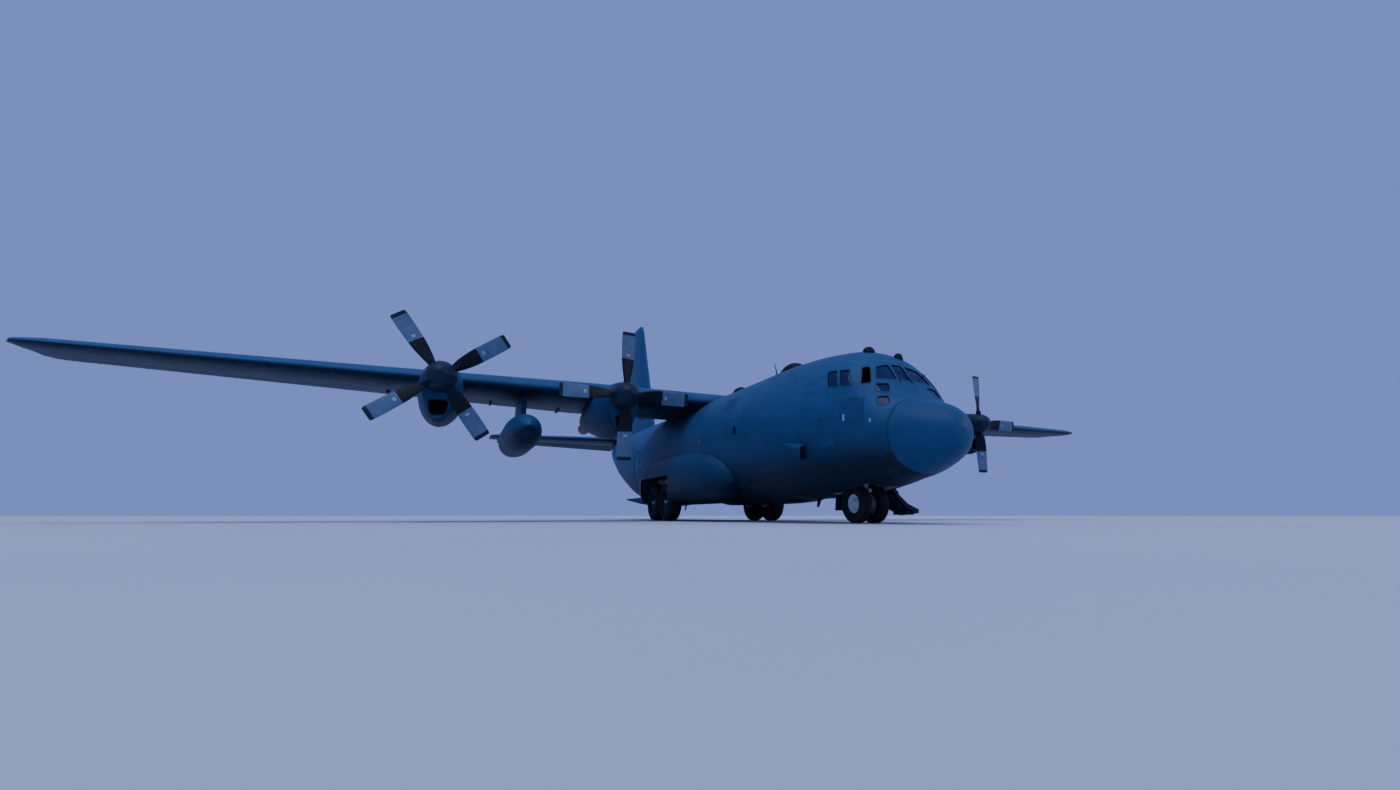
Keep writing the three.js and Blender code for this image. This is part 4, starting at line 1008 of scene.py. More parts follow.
boxes = [fairing("under", (-330, 330), (6600, 7500), 90, 3)]
boxes.append(fairing("under", (-160, 160), (9200, 9800), 130, 3))
boxes += [fairing(view, (23200, 24100), (3700, 4200), 90, 4) for view in SIDES]
make_piece("sensor_fairings", boxes, cowl_paint)

# %% [markdown]
# ## The air scoop
# A scoop low on the starboard side feeds the cabin's air. It is one lifted plate: the lift is
# greatest at its open front and falls to nothing at its back and sides. A bent tube makes the
# lip, and a black plate just inside it is a painted shade for the dark of the mouth.

# %% The air scoop on the starboard side
SCOOP = [[3480, 1560], [3320, 1930], [4140, 2040], [4020, 1720]]
SCOOP_TALL, MOUTH_BACK = 190, 6.0
u, v = np.meshgrid(np.linspace(0, 1, 22), np.linspace(0, 1, 14), indexing="ij")
edge = np.array(SCOOP, float)
drawn = ((1 - u) * (1 - v))[..., None] * edge[0] + ((1 - u) * v)[..., None] * edge[1]
drawn = drawn + (u * v)[..., None] * edge[2] + (u * (1 - v))[..., None] * edge[3]
base = on_hull("starboard", drawn[..., 0], drawn[..., 1])
lift = SCOOP_TALL * (1 - u ** 2.4) * (1 - np.abs(2 * v - 1) ** 6) ** 0.4
scoop = slab(raised(base, lift + 1), raised(base, np.full(u.shape, -14.0)))
make_piece("air_scoop", [scoop], cowl_paint)
lip = raised(base[0], lift[0] + 2)
make_piece("air_scoop_lip", [tube(lip, 13, 10)], radome_paint)
# Painted shade: a black plate just inside the lip fills the scoop's mouth.
v = np.linspace(0.1, 0.9, 12)
mouth = (1 - v)[:, None] * edge[0] + v[:, None] * edge[1]
mouth_base = on_hull("starboard", mouth[:, 0], mouth[:, 1])
mouth_lift = SCOOP_TALL * (1 - np.abs(2 * v - 1) ** 6) ** 0.4 - 16
top = raised(mouth_base, mouth_lift)
low = raised(mouth_base, np.full(12, 6.0))
back = np.array([0, MOUTH_BACK, 0])
front_face = np.stack([top - back, low - back])
make_piece("air_scoop_mouth", [slab(front_face, front_face + 2 * back)], black_trim)

# %% [markdown]
# ## Domes, blades and wires
# The roof and belly carry many aerials. A dome is half an ellipsoid turned on the lathe, a
# blade is a lens section that shrinks and leans as it rises, and a whip is a thin tube.

# %% Domes, blades and wires on the roof


def dome(centre, radius, height, sides=40):
    """Half an ellipsoid on a short skirt, turned round z."""
    t = np.linspace(0, np.pi / 2, 12)
    profile = [[-60, 0], [-60, radius]] + [[height * np.sin(a), radius * np.cos(a)] for a in t]
    return lathe("z", centre, profile, sides)


BLADE_HALF_THICK = 13


def blade_aerial(foot, chord, tall, lean):
    """A swept blade: a lens section that shrinks and leans aft as it rises, and comes to
    nothing at its tip."""
    turn = np.linspace(0, 2 * np.pi, 24, endpoint=False)
    share = np.array([-0.15, 0, 0.5, 0.9, 1.0, 1.0])[:, None]
    size = 1 - 0.45 * np.maximum(share, 0)
    size[-1] = 0
    x = BLADE_HALF_THICK * np.sin(turn) * size
    y = chord / 2 * np.cos(turn) * size + lean * share
    points = np.stack([x, y, tall * share + 0 * x], -1) + np.asarray(foot, float)
    return points.reshape(-1, 3), grid_faces(6, 24, False, True)


def roof(x, station):
    """The skin's highest point over a place."""
    return on_hull("top", np.array(x, float), np.array(station, float))


domes = [dome(roof(-250, 2750) + [0, 0, -15], 160, 155)]
domes.append(dome(roof(400, 2400) + [0, 0, -25], 125, 160))
domes.append(dome(roof(0, 19800), 190, 120))
make_piece("roof_domes", domes, black_trim)
blisters = [fairing("top", (-800, -400), (5600, 6450), 170, 2.2),
            fairing("top", (-930, -670), (9050, 9650), 110, 2.2)]
make_piece("roof_blisters", blisters, black_trim)
aerials = [blade_aerial(roof(0, 7000), 300, 330, 150), blade_aerial(roof(0, 17200), 260, 300, 120)]
for station, tall in ((5600, 240), (8600, 300), (16600, 260)):
    keel = on_hull("under", np.array(0.0), np.array(float(station)))
    aerials.append(blade_aerial(keel, 230, -tall, 110))
make_piece("blade_aerials", aerials, black_trim)
foot = roof(-600, 6960)
whip = [tube([foot, foot + [0, 40, 150], foot + [0, 150, 430]], [24, 18, 9], 8)]
foot = on_hull("front", np.array(600.0), np.array(3520.0))
whip.append(tube([foot, foot + [0, -60, 40], foot + [0, -170, 60]], [16, 12, 8], 8))
make_piece("whip_aerials", whip, black_trim)

# %% [markdown]
# ## Wings, tailplane and fin
# Each is one aerofoil section carried along a span: a thickness formula over the chord, bent
# over a camber line. Where a flap or control surface begins, the fixed part's section is cut
# short; in front of a hinged surface it ends in a hollow that its rounded nose turns in.

# %% The aerofoil and the swept surface
WING = [
    [0, 11150, 4880, 4430, 0.18],
    [5590, 11150, 4880, 4430, 0.18],
    [12600, 11300, 3670, 4480, 0.155],
    [19600, 11450, 2440, 4530, 0.125],
    [20050, 11570, 2150, 4535, 0.1],
    [20205, 11900, 1500, 4540, 0.05],
]
TAIL = [
    [0, 25250, 3950, 4620, 0.115],
    [7700, 26500, 2050, 4620, 0.11],
    [7950, 26640, 1800, 4620, 0.09],
    [8025, 26900, 1300, 4620, 0.04],
]
FIN = [
    [4500, 21680, 6520, 0, 0.1],
    [5600, 22140, 6000, 0, 0.1],
    [11300, 24540, 2900, 0, 0.1],
    [11560, 24760, 2560, 0, 0.08],
    [11660, 25150, 1900, 0, 0.04],
]
CAMBER, FLAP_SHARE, AILERON_SHARE, TAIL_SHARE = 0.02, 0.745, 0.75, 0.66
WING_TIP, TAIL_TIP, WING_JOINT = 20205, 8025, 5590
ELEVATOR_DROOP = 15
LIP, PLAY, LIP_BACK = 4, 14, 56
HINGED = 2


def table_at(table, place):
    """A table's columns after the first, each read between its rows along straight lines."""
    rows = np.array(table, float)
    return [np.interp(np.abs(place), rows[:, 0], column) for column in rows.T[1:]]


def half_thickness(u, thick):
    """5t(0.2969 sqrt(u) - 0.126 u - 0.3516 u^2 + 0.2843 u^3 - 0.1 u^4), never quite nothing
    at the trailing edge."""
    form = 0.2969 * np.sqrt(u) - 0.126 * u - 0.3516 * u**2 + 0.2843 * u**3 - 0.1 * u**4
    return np.maximum(5 * thick * form, np.where(u > 0, 0.002, 0))


def foil_surface(table, places, camber, cut, hinge=0.0, upright=False, detail=36):
    """Rings of points round the section at each place along the span: the upper face forward,
    the lower face aft, and a closing wall. A cut holds the share of the chord at its value;
    where it says HINGED the wall is an arc round the hinge line."""
    lead, chord, height, thick = (column[:, None] for column in table_at(table, places))
    turn = np.linspace(0, 2 * np.pi, 2 * detail + 1)[None]
    cut = np.asarray(cut, float)[:, None]
    limit = np.where(cut == HINGED, hinge - LIP_BACK / chord, cut)
    u = np.minimum((1 + np.cos(turn)) / 2, limit)
    v = 4 * camber * u * (1 - u) + np.where(turn <= np.pi, 1, -1) * half_thickness(u, thick)
    share = np.linspace(0, 1, 12)[None, 1:-1]
    wall_u = u[:, -1:] + (u[:, :1] - u[:, -1:]) * share
    wall_v = v[:, -1:] + (v[:, :1] - v[:, -1:]) * share
    if hinge:
        radius = half_thickness(np.full_like(chord, hinge), thick) - LIP / chord + PLAY / chord
        middle = 4 * camber * hinge * (1 - hinge)
        lip = np.arccos(np.clip(LIP_BACK / chord / radius, 0, 1))
        angle = (np.pi + lip) - 2 * lip * share
        hollow = cut == HINGED
        wall_u = np.where(hollow, hinge + radius * np.cos(angle), wall_u)
        wall_v = np.where(hollow, middle + radius * np.sin(angle), wall_v)
    u, v = np.hstack([u, wall_u]) * chord + lead, np.hstack([v, wall_v]) * chord
    along = np.broadcast_to(places[:, None], u.shape)
    points = np.stack([v, u, along] if upright else [along, u, v + height], -1)
    ends = points.mean(1, keepdims=True) + 0 * points
    points = np.concatenate([ends[:1], points, ends[-1:]])
    return points.reshape(-1, 3), grid_faces(*points.shape[:2], False, True)


def zone_cuts(places, table, zones):
    """For each place, the chord share where the fixed part ends: 1 outside every zone, and
    HINGED in one that has no gap of its own."""
    chord = table_at(table, places)[1]
    cut = np.ones(len(places))
    for low, high, share, gap in zones:
        inside = (np.abs(places) > low) & (np.abs(places) < high)
        cut = np.where(inside, HINGED if gap is None else share - gap / chord, cut)
    return cut


WING_ZONES = [(2342, 5548, FLAP_SHARE, 8), (5632, 13308, FLAP_SHARE, 8), (13386, 19464, 0, None)]
edges = [edge + d for low, high, *_ in WING_ZONES for edge in (low, high) for d in (-1, 1)]
middle_edges = [side * edge for side in (-1, 1) for edge in edges if edge < WING_JOINT]
places = spread(-WING_JOINT, WING_JOINT, 320, *middle_edges)
centre_wing = foil_surface(WING, places, CAMBER, zone_cuts(places, WING, WING_ZONES))
make_piece("wing_skin_centre", [centre_wing], wing_paint, replaces=["wing_centre"], smooth=35)
places = spread(WING_JOINT + 1, WING_TIP, 320, *edges, 20050, 20120, 20170)
outer_wing = foil_surface(WING, places, CAMBER, zone_cuts(places, WING, WING_ZONES), AILERON_SHARE)
for side, name in ((1, "port"), (-1, "starboard")):
    points, faces = outer_wing
    make_piece("wing_skin_" + name, [(points * [side, 1, 1], faces)], wing_paint,
               replaces=["wing_outer_" + name], smooth=35)
TAIL_ZONES = [(606, 7574, 0, None)]
tail_marks = [side * (edge + d) for side in (-1, 1) for edge in (606, 7574) for d in (-1, 1)]
places = spread(-TAIL_TIP, TAIL_TIP, 300, *tail_marks, -7950, 7950)
tail = foil_surface(TAIL, places, 0, zone_cuts(places, TAIL, TAIL_ZONES), TAIL_SHARE)
make_piece("tailplane_skin", [tail], wing_paint, replaces=["tailplane"], smooth=35)
FIN_ZONES = [(5786, 11244, 0, None)]
fin_marks = [edge + d for edge in (5786, 11244) for d in (-1, 1)]
places = spread(FIN[0][0], FIN[-1][0], 260, *fin_marks, 11560, 11620)
fin = foil_surface(FIN, places, 0, zone_cuts(places, FIN, FIN_ZONES), TAIL_SHARE, upright=True)
make_piece("fin_skin", [fin], wing_paint, replaces=["fin"], smooth=35)

# %% [markdown]
# ## Lamps, static wicks and flap tracks
# Wing tips carry a red lamp to port and a green one to starboard. Thin wicks on the trailing
# edges of the ailerons, elevators and rudder shed static charge, so each rides on the surface
# that it is fixed to. The flaps' tracks hide in small streamlined pods under the wing.

# %% Lamps, static wicks and flap tracks
POD = [[0, 0], [0.04, 0.42], [0.14, 0.8], [0.32, 1], [0.55, 0.9], [0.8, 0.5], [1, 0]]


def wing_point(x, share, side):
    """A place on the wing's upper (side 1) or lower (side -1) face at a share of its chord."""
    lead, chord, height, thick = table_at(WING, x)
    rise = 4 * CAMBER * share * (1 - share) + side * half_thickness(share, thick)
    return np.array([x, lead + share * chord, height + rise * chord])


def teardrop(front, length, wide, tall):
    """A streamlined pod along y from its front point: the table turned round its axis, then
    stretched to its width and height."""
    points, faces = lathe("y", [0, 0, 0], [[a * length, r] for a, r in POD], 20)
    return points * [wide, 1, tall] + front, faces


for side, name, glass in ((1, "port", red_glass), (-1, "starboard", green_glass)):
    make_piece("tip_lamp_" + name, [teardrop([20158 * side, 11760, 4535], 420, 42, 46)], glass)
make_piece("fin_beacon", [dome([0, 25300, 11570], 55, 85, 24)], red_glass)
make_piece("tail_lamp", [teardrop([0, 29610, 4350], 170, 40, 40)], lamp_glass)
AILERON_WICKS, ELEVATOR_WICKS, RUDDER_WICKS = (14200, 19300, 6), (3600, 7300, 4), (9600, 11100, 3)
WICK_INSET = 6


def elevator_edge(x):
    """The drooped trailing edge: the chord behind the hinge, turned down round it."""
    lead, chord, height, _ = table_at(TAIL, x)
    reach, droop = chord * (1 - TAIL_SHARE) - WICK_INSET, np.radians(ELEVATOR_DROOP)
    back, down = reach * np.cos(droop), reach * np.sin(droop)
    return np.array([x, lead + chord * TAIL_SHARE + back, height - down])


def rudder_edge(z):
    """The fin's trailing edge at a height."""
    lead, chord, *_ = table_at(FIN, z)
    return np.array([0.0, lead + chord - WICK_INSET, z])


def wicks_at(feet):
    """A thin tapering rod aft of each foot."""
    return [tube([foot, foot + [0, 40, 0], foot + [0, 170, -6]], [6, 5, 2.5], 6) for foot in feet]


aileron_feet = np.array([wing_point(x, 0.998, 0) for x in np.linspace(*AILERON_WICKS)])
elevator_feet = np.array([elevator_edge(x) for x in np.linspace(*ELEVATOR_WICKS)])
for surface, feet in (("aileron_", aileron_feet), ("elevator_", elevator_feet)):
    for side, name in ((1, "left"), (-1, "right")):
        body = surface + name
        make_piece("static_wicks_" + body, wicks_at(feet * [side, 1, 1]), black_trim, body)
rudder_feet = [rudder_edge(z) for z in np.linspace(*RUDDER_WICKS)]
make_piece("static_wicks_rudder_blade", wicks_at(rudder_feet), black_trim, "rudder_blade")
TRACK_PLACES = (2900, 4500, 6300, 8700, 11900)
tracks = []
for side in (1, -1):
    for x in TRACK_PLACES:
        front, rear = wing_point(x, 0.5, -1), wing_point(x, FLAP_SHARE - 0.012, -1)
        length = rear[1] - front[1] + 60
        tracks.append(teardrop([x * side, front[1], front[2] - 6], length, 52, 92))
make_piece("flap_track_fairings", tracks, wing_paint)

# %% [markdown]
# ## Engine nacelles
# A turboprop's nacelle is a long superellipse body under the wing with a chin intake. The
# skin is drawn from the lip round the spinner, over the rounded front edge and back to the
# tail, so one grid makes the front face and the sides; the chin's mouth is then cut in it.

# %% The nacelle's skin, mouth and lip
NACELLE = [
    [9150, 465, 470, -60, -1180, 2, 1.8],
    [9450, 530, 520, -80, -1230, 2.1, 1.9],
    [10200, 600, 590, -100, -1220, 2.2, 2],
    [11300, 630, 560, -120, -1120, 2.2, 2],
    [12600, 600, 480, -140, -880, 2, 2],
    [13900, 480, 420, -120, -540, 2, 2],
    [15000, 280, 350, -40, -240, 2, 2],
    [15500, 120, 200, 0, -80, 2, 2],
]
ENGINES = [
    ["outer_starboard", -10230, 4010, -0.634],
    ["inner_starboard", -4970, 3920, 0.004],
    ["inner_port", 4970, 3920, 0.35],
    ["outer_port", 10230, 4010, 0.001],
]
NACELLE_FRONT, FACE_SPAN, EDGE_SPAN, FACE_BULGE, FACE_DROP = 9150, 1000, 400, 22, 60
MOUTH = rounded([[-270, -640], [-190, -1060], [190, -1060], [270, -640]], 110, 30)
MOUTH_CUT_TO, COWL_MIDDLE = NACELLE_FRONT + 350, -120


def nacelle_form(angle, share):
    """Below 0 the share runs over the front face from its middle to the rounded edge: the
    section is scaled by 1 + share / FACE_SPAN. Above 0 it is the station aft of the front."""
    station = NACELLE_FRONT + np.maximum(share, 0)
    x, z = oval(angle, smooth_rows(NACELLE, station))
    scale = np.clip(1 + share / FACE_SPAN, 0, 1)
    bulge = FACE_BULGE * (1 - np.clip(1 + share / EDGE_SPAN, 0, 1) ** 2)
    z = -FACE_DROP * (1 - scale) + z * scale
    return np.stack([x * scale, station - bulge + 0 * x, z], -1)


def mouth_cut(points):
    """Negative in the chin's mouth, near the front face alone."""
    x, s, z = np.moveaxis(points, -1, 0)
    return np.maximum(outside(MOUTH, x, z), s - MOUTH_CUT_TO)


def mouth_ring(scale, station):
    """The mouth's outline scaled about its middle at a station."""
    middle = MOUTH.mean(0)
    across, up = ((MOUTH - middle) * scale + middle).T
    return np.column_stack([across, np.full(len(MOUTH), station), up])


face_shares = -FACE_SPAN * np.linspace(1, 0.02, 26)
nacelle_shares = np.concatenate([face_shares, spread(0, 900, 45), spread(960, 6350, 90)])
nacelle_skin = trimmed_skin(nacelle_form, turns(96), nacelle_shares, mouth_cut)
# The duct is closed at its far end and painted black: a painted shade for the dark inside the
# intake.
DUCT = [[1.06, -2], [1.0, 18], [0.95, 90], [0.95, 420], [0.9, 640]]
duct = [mouth_ring(scale, NACELLE_FRONT + depth) for scale, depth in DUCT]
duct.append(np.repeat(duct[-1].mean(0)[None], len(MOUTH), 0))
duct = np.array(duct)
lip = np.stack([mouth_ring(1 + 0.05 * np.cos(t), NACELLE_FRONT - 6 + 24 * np.sin(t))
                for t in np.linspace(0, 2 * np.pi, 10, endpoint=False)])


def moved(part, shift):
    """A part with its points shifted."""
    return (np.asarray(part[0]).reshape(-1, 3) + shift, *part[1:])


def cowl_ring(station, height, width):
    """A raised strap round the nacelle at a station: four rings of its form, moved out."""
    angle = np.linspace(0, 2 * np.pi, 96, endpoint=False)
    half, rings = width / 2, []
    for along, up in ((-half, -6), (2 - half, height), (half - 2, height), (half, -6)):
        base = nacelle_form(angle, np.full(96, station + along - NACELLE_FRONT))
        out = base - [0, station + along, COWL_MIDDLE]
        out[:, 1] = 0
        out /= np.linalg.norm(out, axis=1, keepdims=True)
        rings.append(base + out * up)
    return np.array(rings).reshape(-1, 3), grid_faces(4, 96, True, True)


EXHAUST = [[-40, 150], [0, 215], [500, 235], [900, 232], [920, 224], [880, 212], [300, 200],
           [200, 0]]
EXHAUST_STATION, EXHAUST_DROP, STRAP_STATIONS = 14720, 205, (9480, 10650, 12100)
for name, x, z, _ in ENGINES:
    hub = np.array([x, 0, z])
    make_piece("nacelle_skin_" + name, [moved(nacelle_skin, hub)], cowl_paint,
               replaces=["nacelle_" + name], wall=40)
    straps = [moved(cowl_ring(s, 4, 26), hub) for s in STRAP_STATIONS]
    make_piece("nacelle_straps_" + name, straps, hull_paint)
    # The duct's black is painted shade; the intake's lip is dark metal.
    parts = [moved((duct.reshape(-1, 3), grid_faces(len(duct), len(MOUTH), False, True)), hub)]
    parts.append((lip.reshape(-1, 3) + hub, grid_faces(10, len(MOUTH), True, True), 1))
    make_piece("intake_" + name, parts, [black_trim, dark_metal])
    pipe = lathe("y", [x, EXHAUST_STATION, z - EXHAUST_DROP], EXHAUST, 40)
    make_piece("exhaust_" + name, [pipe], burnt_metal)

# %% [markdown]
# ## Propellers
# Each has four broad square-ended blades. A blade is a lens-shaped section whose chord,
# thickness and twist follow a table along its length. Its black heated boot, pale middle and
# dark tip are the same surface, so the colours are chosen by each face's place along it.

# %% Spinner, blades and their bands
BLADE_ROWS = [
    [330, 190, 180, 40],
    [640, 370, 110, 32],
    [1100, 450, 62, 20],
    [1600, 455, 42, 12],
    [1960, 440, 26, 8],
    [2045, 400, 20, 7],
    [2057, 350, 14, 7],
]
SPINNER = [[-520, 0], [-508, 70], [-470, 160], [-400, 240], [-320, 300], [-240, 347], [-150, 385],
           [-60, 410], [30, 425], [120, 430], [250, 430], [262, 424], [262, 0]]
HUB_STATION, BOOT_END, TIP_START = 8860, 1170, 1945


def blade():
    """Ellipse sections over a row of radii, tilted by the twist, and closed at both ends."""
    radii = spread(330, 2057, 60, BOOT_END, TIP_START, 2045)
    chord, thick, twist = np.moveaxis(smooth_rows(BLADE_ROWS, radii), -1, 0)
    turn = np.linspace(0, 2 * np.pi, 28, endpoint=False)
    u = np.cos(turn)[None] * chord[:, None] / 2
    v = np.sin(turn)[None] * np.abs(np.sin(turn))[None] ** 0.35 * thick[:, None] / 2
    tilt = np.radians(twist)[:, None]
    x, y = u * np.cos(tilt) - v * np.sin(tilt), u * np.sin(tilt) + v * np.cos(tilt)
    points = np.stack([x, y, np.broadcast_to(radii[:, None], x.shape)], -1)
    ends = points.mean(1, keepdims=True) + 0 * points
    points = np.concatenate([ends[:1], points, ends[-1:]])
    faces = grid_faces(*points.shape[:2], False, True)
    reach = points.reshape(-1, 3)[faces][:, :, 2].mean(1)
    band = np.where(reach < BOOT_END, 1, np.where(reach > TIP_START, 2, 0))
    return points.reshape(-1, 3), faces, band


def about_y(points, angle):
    """Turns points round the y axis, x towards -z as the angle grows."""
    c, s = np.cos(angle), np.sin(angle)
    x, y, z = np.moveaxis(np.asarray(points, float), -1, 0)
    return np.stack([x * c + z * s, y, z * c - x * s], -1)


blade_points, blade_faces, blade_bands = blade()
cuff = tube([[0, 0, 300], [0, 0, 470], [0, 0, 560]], [118, 104, 84], 24)
MARK_TILT, MARK_AHEAD, MARK_THICK = np.radians(17.0), 31.5, 14
flat = bilinear([[-60, 1250], [60, 1250], [60, 1330], [-60, 1330]], 4)
across, along = flat[..., 0], flat[..., 1]
mark = np.stack([across * np.cos(MARK_TILT), across * np.sin(MARK_TILT) - MARK_AHEAD, along], -1)
BLADE_FINISHES = [blade_paint, boot_rubber, tip_paint, spinner_paint]
for name, x, z, angle in ENGINES:
    hub = np.array([x, HUB_STATION, z])
    parts, marks = [], []
    for turn in angle + np.arange(4) * np.pi / 2:
        parts.append((about_y(blade_points, turn) + hub, blade_faces, blade_bands))
        parts.append((about_y(cuff[0], turn) + hub, cuff[1], 1))
        back = about_y(mark + [0, MARK_THICK, 0], turn) + hub
        marks.append(slab(about_y(mark, turn) + hub, back))
    parts.append((*lathe("y", hub, SPINNER, 56), 3))
    make_piece("propeller_blades_" + name, parts, BLADE_FINISHES, "prop_" + name,
               ["propeller_" + name], smooth=50)
    make_piece("blade_marks_" + name, marks, faded_paint, "prop_" + name)

# %% [markdown]
# ## Fuel tanks and gear fairings
# Both are smooth bodies over the frame's plainer solids. The tank is turned on a lathe with a
# finer profile; the fairing is the frame's own table with curves between its rows, laid a few
# millimetres outside the solid that lines the wheel well.

# %% Tanks with pylons, and the sponsons
TANK_PROFILE = [[0, 0], [0.01, 0.13], [0.05, 0.42], [0.13, 0.78], [0.24, 0.97], [0.34, 1],
                [0.56, 1], [0.7, 0.9], [0.85, 0.58], [0.96, 0.2], [1, 0]]
PYLON_FROM, PYLON_FOOT, PYLON_TALL = 11650, 400, 1110
TANK_X, TANK_Z, TANK_FROM, TANK_LENGTH, TANK_RADIUS = 7700, 2920, 9750, 7600, 600
shares = (1 - np.cos(np.linspace(0, 1, 90) * np.pi)) / 2
tank_radius = smooth_rows(TANK_PROFILE, shares)[:, 0]
tank_profile = np.column_stack([TANK_FROM + shares * TANK_LENGTH, tank_radius * TANK_RADIUS])
pylon_half = [[0, 0], [120, 55], [350, 88], [800, 95], [2500, 90], [3100, 50], [3400, 0]]
pylon_half = np.array(pylon_half, float)
pylon_shape = np.vstack([pylon_half, pylon_half[-2:0:-1] * [1, -1]]) + [PYLON_FROM, 0]
SPONSON = [
    [7500, 200, 1650, 1420, 1200, 2, 2],
    [7950, 560, 1950, 1400, 860, 2.4, 2.4],
    [8850, 760, 2180, 1400, 690, 2.8, 3],
    [10350, 860, 2380, 1400, 640, 2.8, 3.4],
    [12150, 900, 2480, 1400, 630, 2.8, 3.4],
    [14750, 880, 2450, 1400, 640, 2.8, 3.4],
    [15750, 720, 2150, 1400, 740, 2.6, 3],
    [16600, 380, 1700, 1400, 1060, 2.2, 2.4],
    [16900, 200, 1520, 1400, 1250, 2, 2],
]
SPONSON_X, SPONSON_AXIS, SPONSON_SKIN, SPONSON_WALL = 1750, 1400, 5.0, 8
SPONSON_FROM, SPONSON_TO, SPONSON_END = 7500, 16900, 60


def sponson_form(angle, station):
    """The table's section moved out by the skin's thickness. Beyond either end it shrinks as
    the square root of what is left, so the ends are blunt and closed."""
    rows = smooth_rows(SPONSON, np.clip(station, SPONSON_FROM, SPONSON_TO))
    beyond = np.maximum(SPONSON_FROM - station, station - SPONSON_TO)
    shrink = np.sqrt(np.clip(1 - np.clip(beyond, 0, None) / SPONSON_END, 0, 1))
    x, z = oval(angle, rows)
    up = z - SPONSON_AXIS
    far = np.maximum(np.hypot(x, up), 1e-9)
    x, up = (x + SPONSON_SKIN * x / far) * shrink, (up + SPONSON_SKIN * up / far) * shrink
    end = np.clip(station, SPONSON_FROM - 10, SPONSON_TO + 10)
    return np.stack([x + SPONSON_X, end, SPONSON_AXIS + up], -1)


end_rows = np.array([25, 50, SPONSON_END])
middle_rows = spread(SPONSON_FROM, SPONSON_TO, 70)
sponson_rows = [SPONSON_FROM - end_rows[::-1], middle_rows, SPONSON_TO + end_rows]
sponson_rows = np.concatenate(sponson_rows)
sponson = trimmed_skin(sponson_form, turns(130), sponson_rows, well_cut)
TANK_STRAP = [[-16, 596], [-14, 605], [14, 605], [16, 596], [-16, 596]]
for side, name in ((1, "port"), (-1, "starboard")):
    flip = np.array([side, 1, 1])
    body = lathe("y", [TANK_X * side, 0, TANK_Z], tank_profile, 64)
    foot = np.full(12, TANK_Z + PYLON_FOOT)
    low = np.column_stack([TANK_X + pylon_shape[:, 1], pylon_shape[:, 0], foot])
    high = low + [0, 0, PYLON_TALL]
    rings = np.array([low * 0 + low.mean(0), low, high, low * 0 + high.mean(0)])
    pylon = ((rings * flip).reshape(-1, 3), grid_faces(4, 12, False, True))
    make_piece("fuel_tank_skin_" + name, [body, pylon], wing_paint,
               replaces=["fuel_tank_" + name])
    make_piece("sponson_skin_" + name, [(sponson[0] * flip, sponson[1])], hull_paint,
               wall=SPONSON_WALL)
    straps = [lathe("y", [TANK_X * side, station, TANK_Z], TANK_STRAP, 64)
              for station in (12050, 13900)]
    make_piece("tank_straps_" + name, straps, cowl_paint)

# %% [markdown]
# ## Wheels and landing gear
# A tyre is one profile turned round its axle: a flat tread with grooves, shoulders, bulging
# walls and a bead, then the wheel's dish. Legs are bright sliding tubes in painted cylinders,
# with torque links that keep them from turning.

# %% Tyres and hubs
TYRE = [[-0.5, 0.48], [-0.72, 0.52], [-0.92, 0.6], [-1, 0.72], [-0.97, 0.84], [-0.85, 0.93],
        [-0.7, 0.972]]
DISH = [[0, 0.49], [0.5, 0.49], [0.56, 0.47], [0.52, 0.42], [0.3, 0.4], [0.22, 0.34],
        [0.2, 0.24], [0.34, 0.2], [0.5, 0.17], [0.58, 0.13], [0.6, 0.08], [0.6, 0]]
BOLT = [[-14, 0], [-14, 13], [14, 13], [18, 7], [18, 0]]
BOLT_COUNT, BOLT_CIRCLE, BOLT_OUT = 10, 0.29, 0.12
GROOVES = [-0.45, -0.15, 0.15, 0.45]


def tyre_profile(width, radius):
    """Half the wall table, the grooved tread and the wall again, mirrored."""
    tread = []
    for groove in GROOVES:
        crown = radius * (1 - 0.02 * groove**2)
        for offset, drop in ((-0.035, 0), (-0.03, 12), (0.03, 12), (0.035, 0)):
            tread.append([(groove + offset) * width / 2, crown - drop])
    wall = np.array([[a * width / 2, r * radius] for a, r in TYRE])
    other = wall[::-1] * [-1, 1]
    return np.vstack([wall, tread, other, wall[:1]])


def hub_profile(width, radius, side):
    """A dish: rim flange, drop to the disc, raised centre and axle cap on one side."""
    return [[a * width / 2 * side, r * radius] for a, r in DISH] + [[0, 0]]


def ring_of(count, radius, part):
    """Copies of a part at equal turns round the x axis."""
    points, faces = part
    x, y, z = (np.asarray(points, float) + [0, 0, radius]).T
    copies = []
    for turn in np.linspace(0, 2 * np.pi, count, endpoint=False):
        c, s = np.cos(turn), np.sin(turn)
        copies.append((np.column_stack([x, y * c - z * s, y * s + z * c]), faces))
    return copies


def wheel_parts(centre, width, radius):
    """A tyre, a dish on each side and a ring of bolts on each dish, turned round x."""
    centre = np.asarray(centre, float)
    parts = [(*lathe("x", centre, tyre_profile(width, radius), 72), 0)]
    for side in (-1, 1):
        parts.append((*lathe("x", centre, hub_profile(width, radius, side), 40), 1))
        bolt = lathe("x", [side * width * BOLT_OUT, 0, 0], BOLT, 8)
        for copy in ring_of(BOLT_COUNT, radius * BOLT_CIRCLE, bolt):
            parts.append((*moved(copy, centre), 2))
    return parts


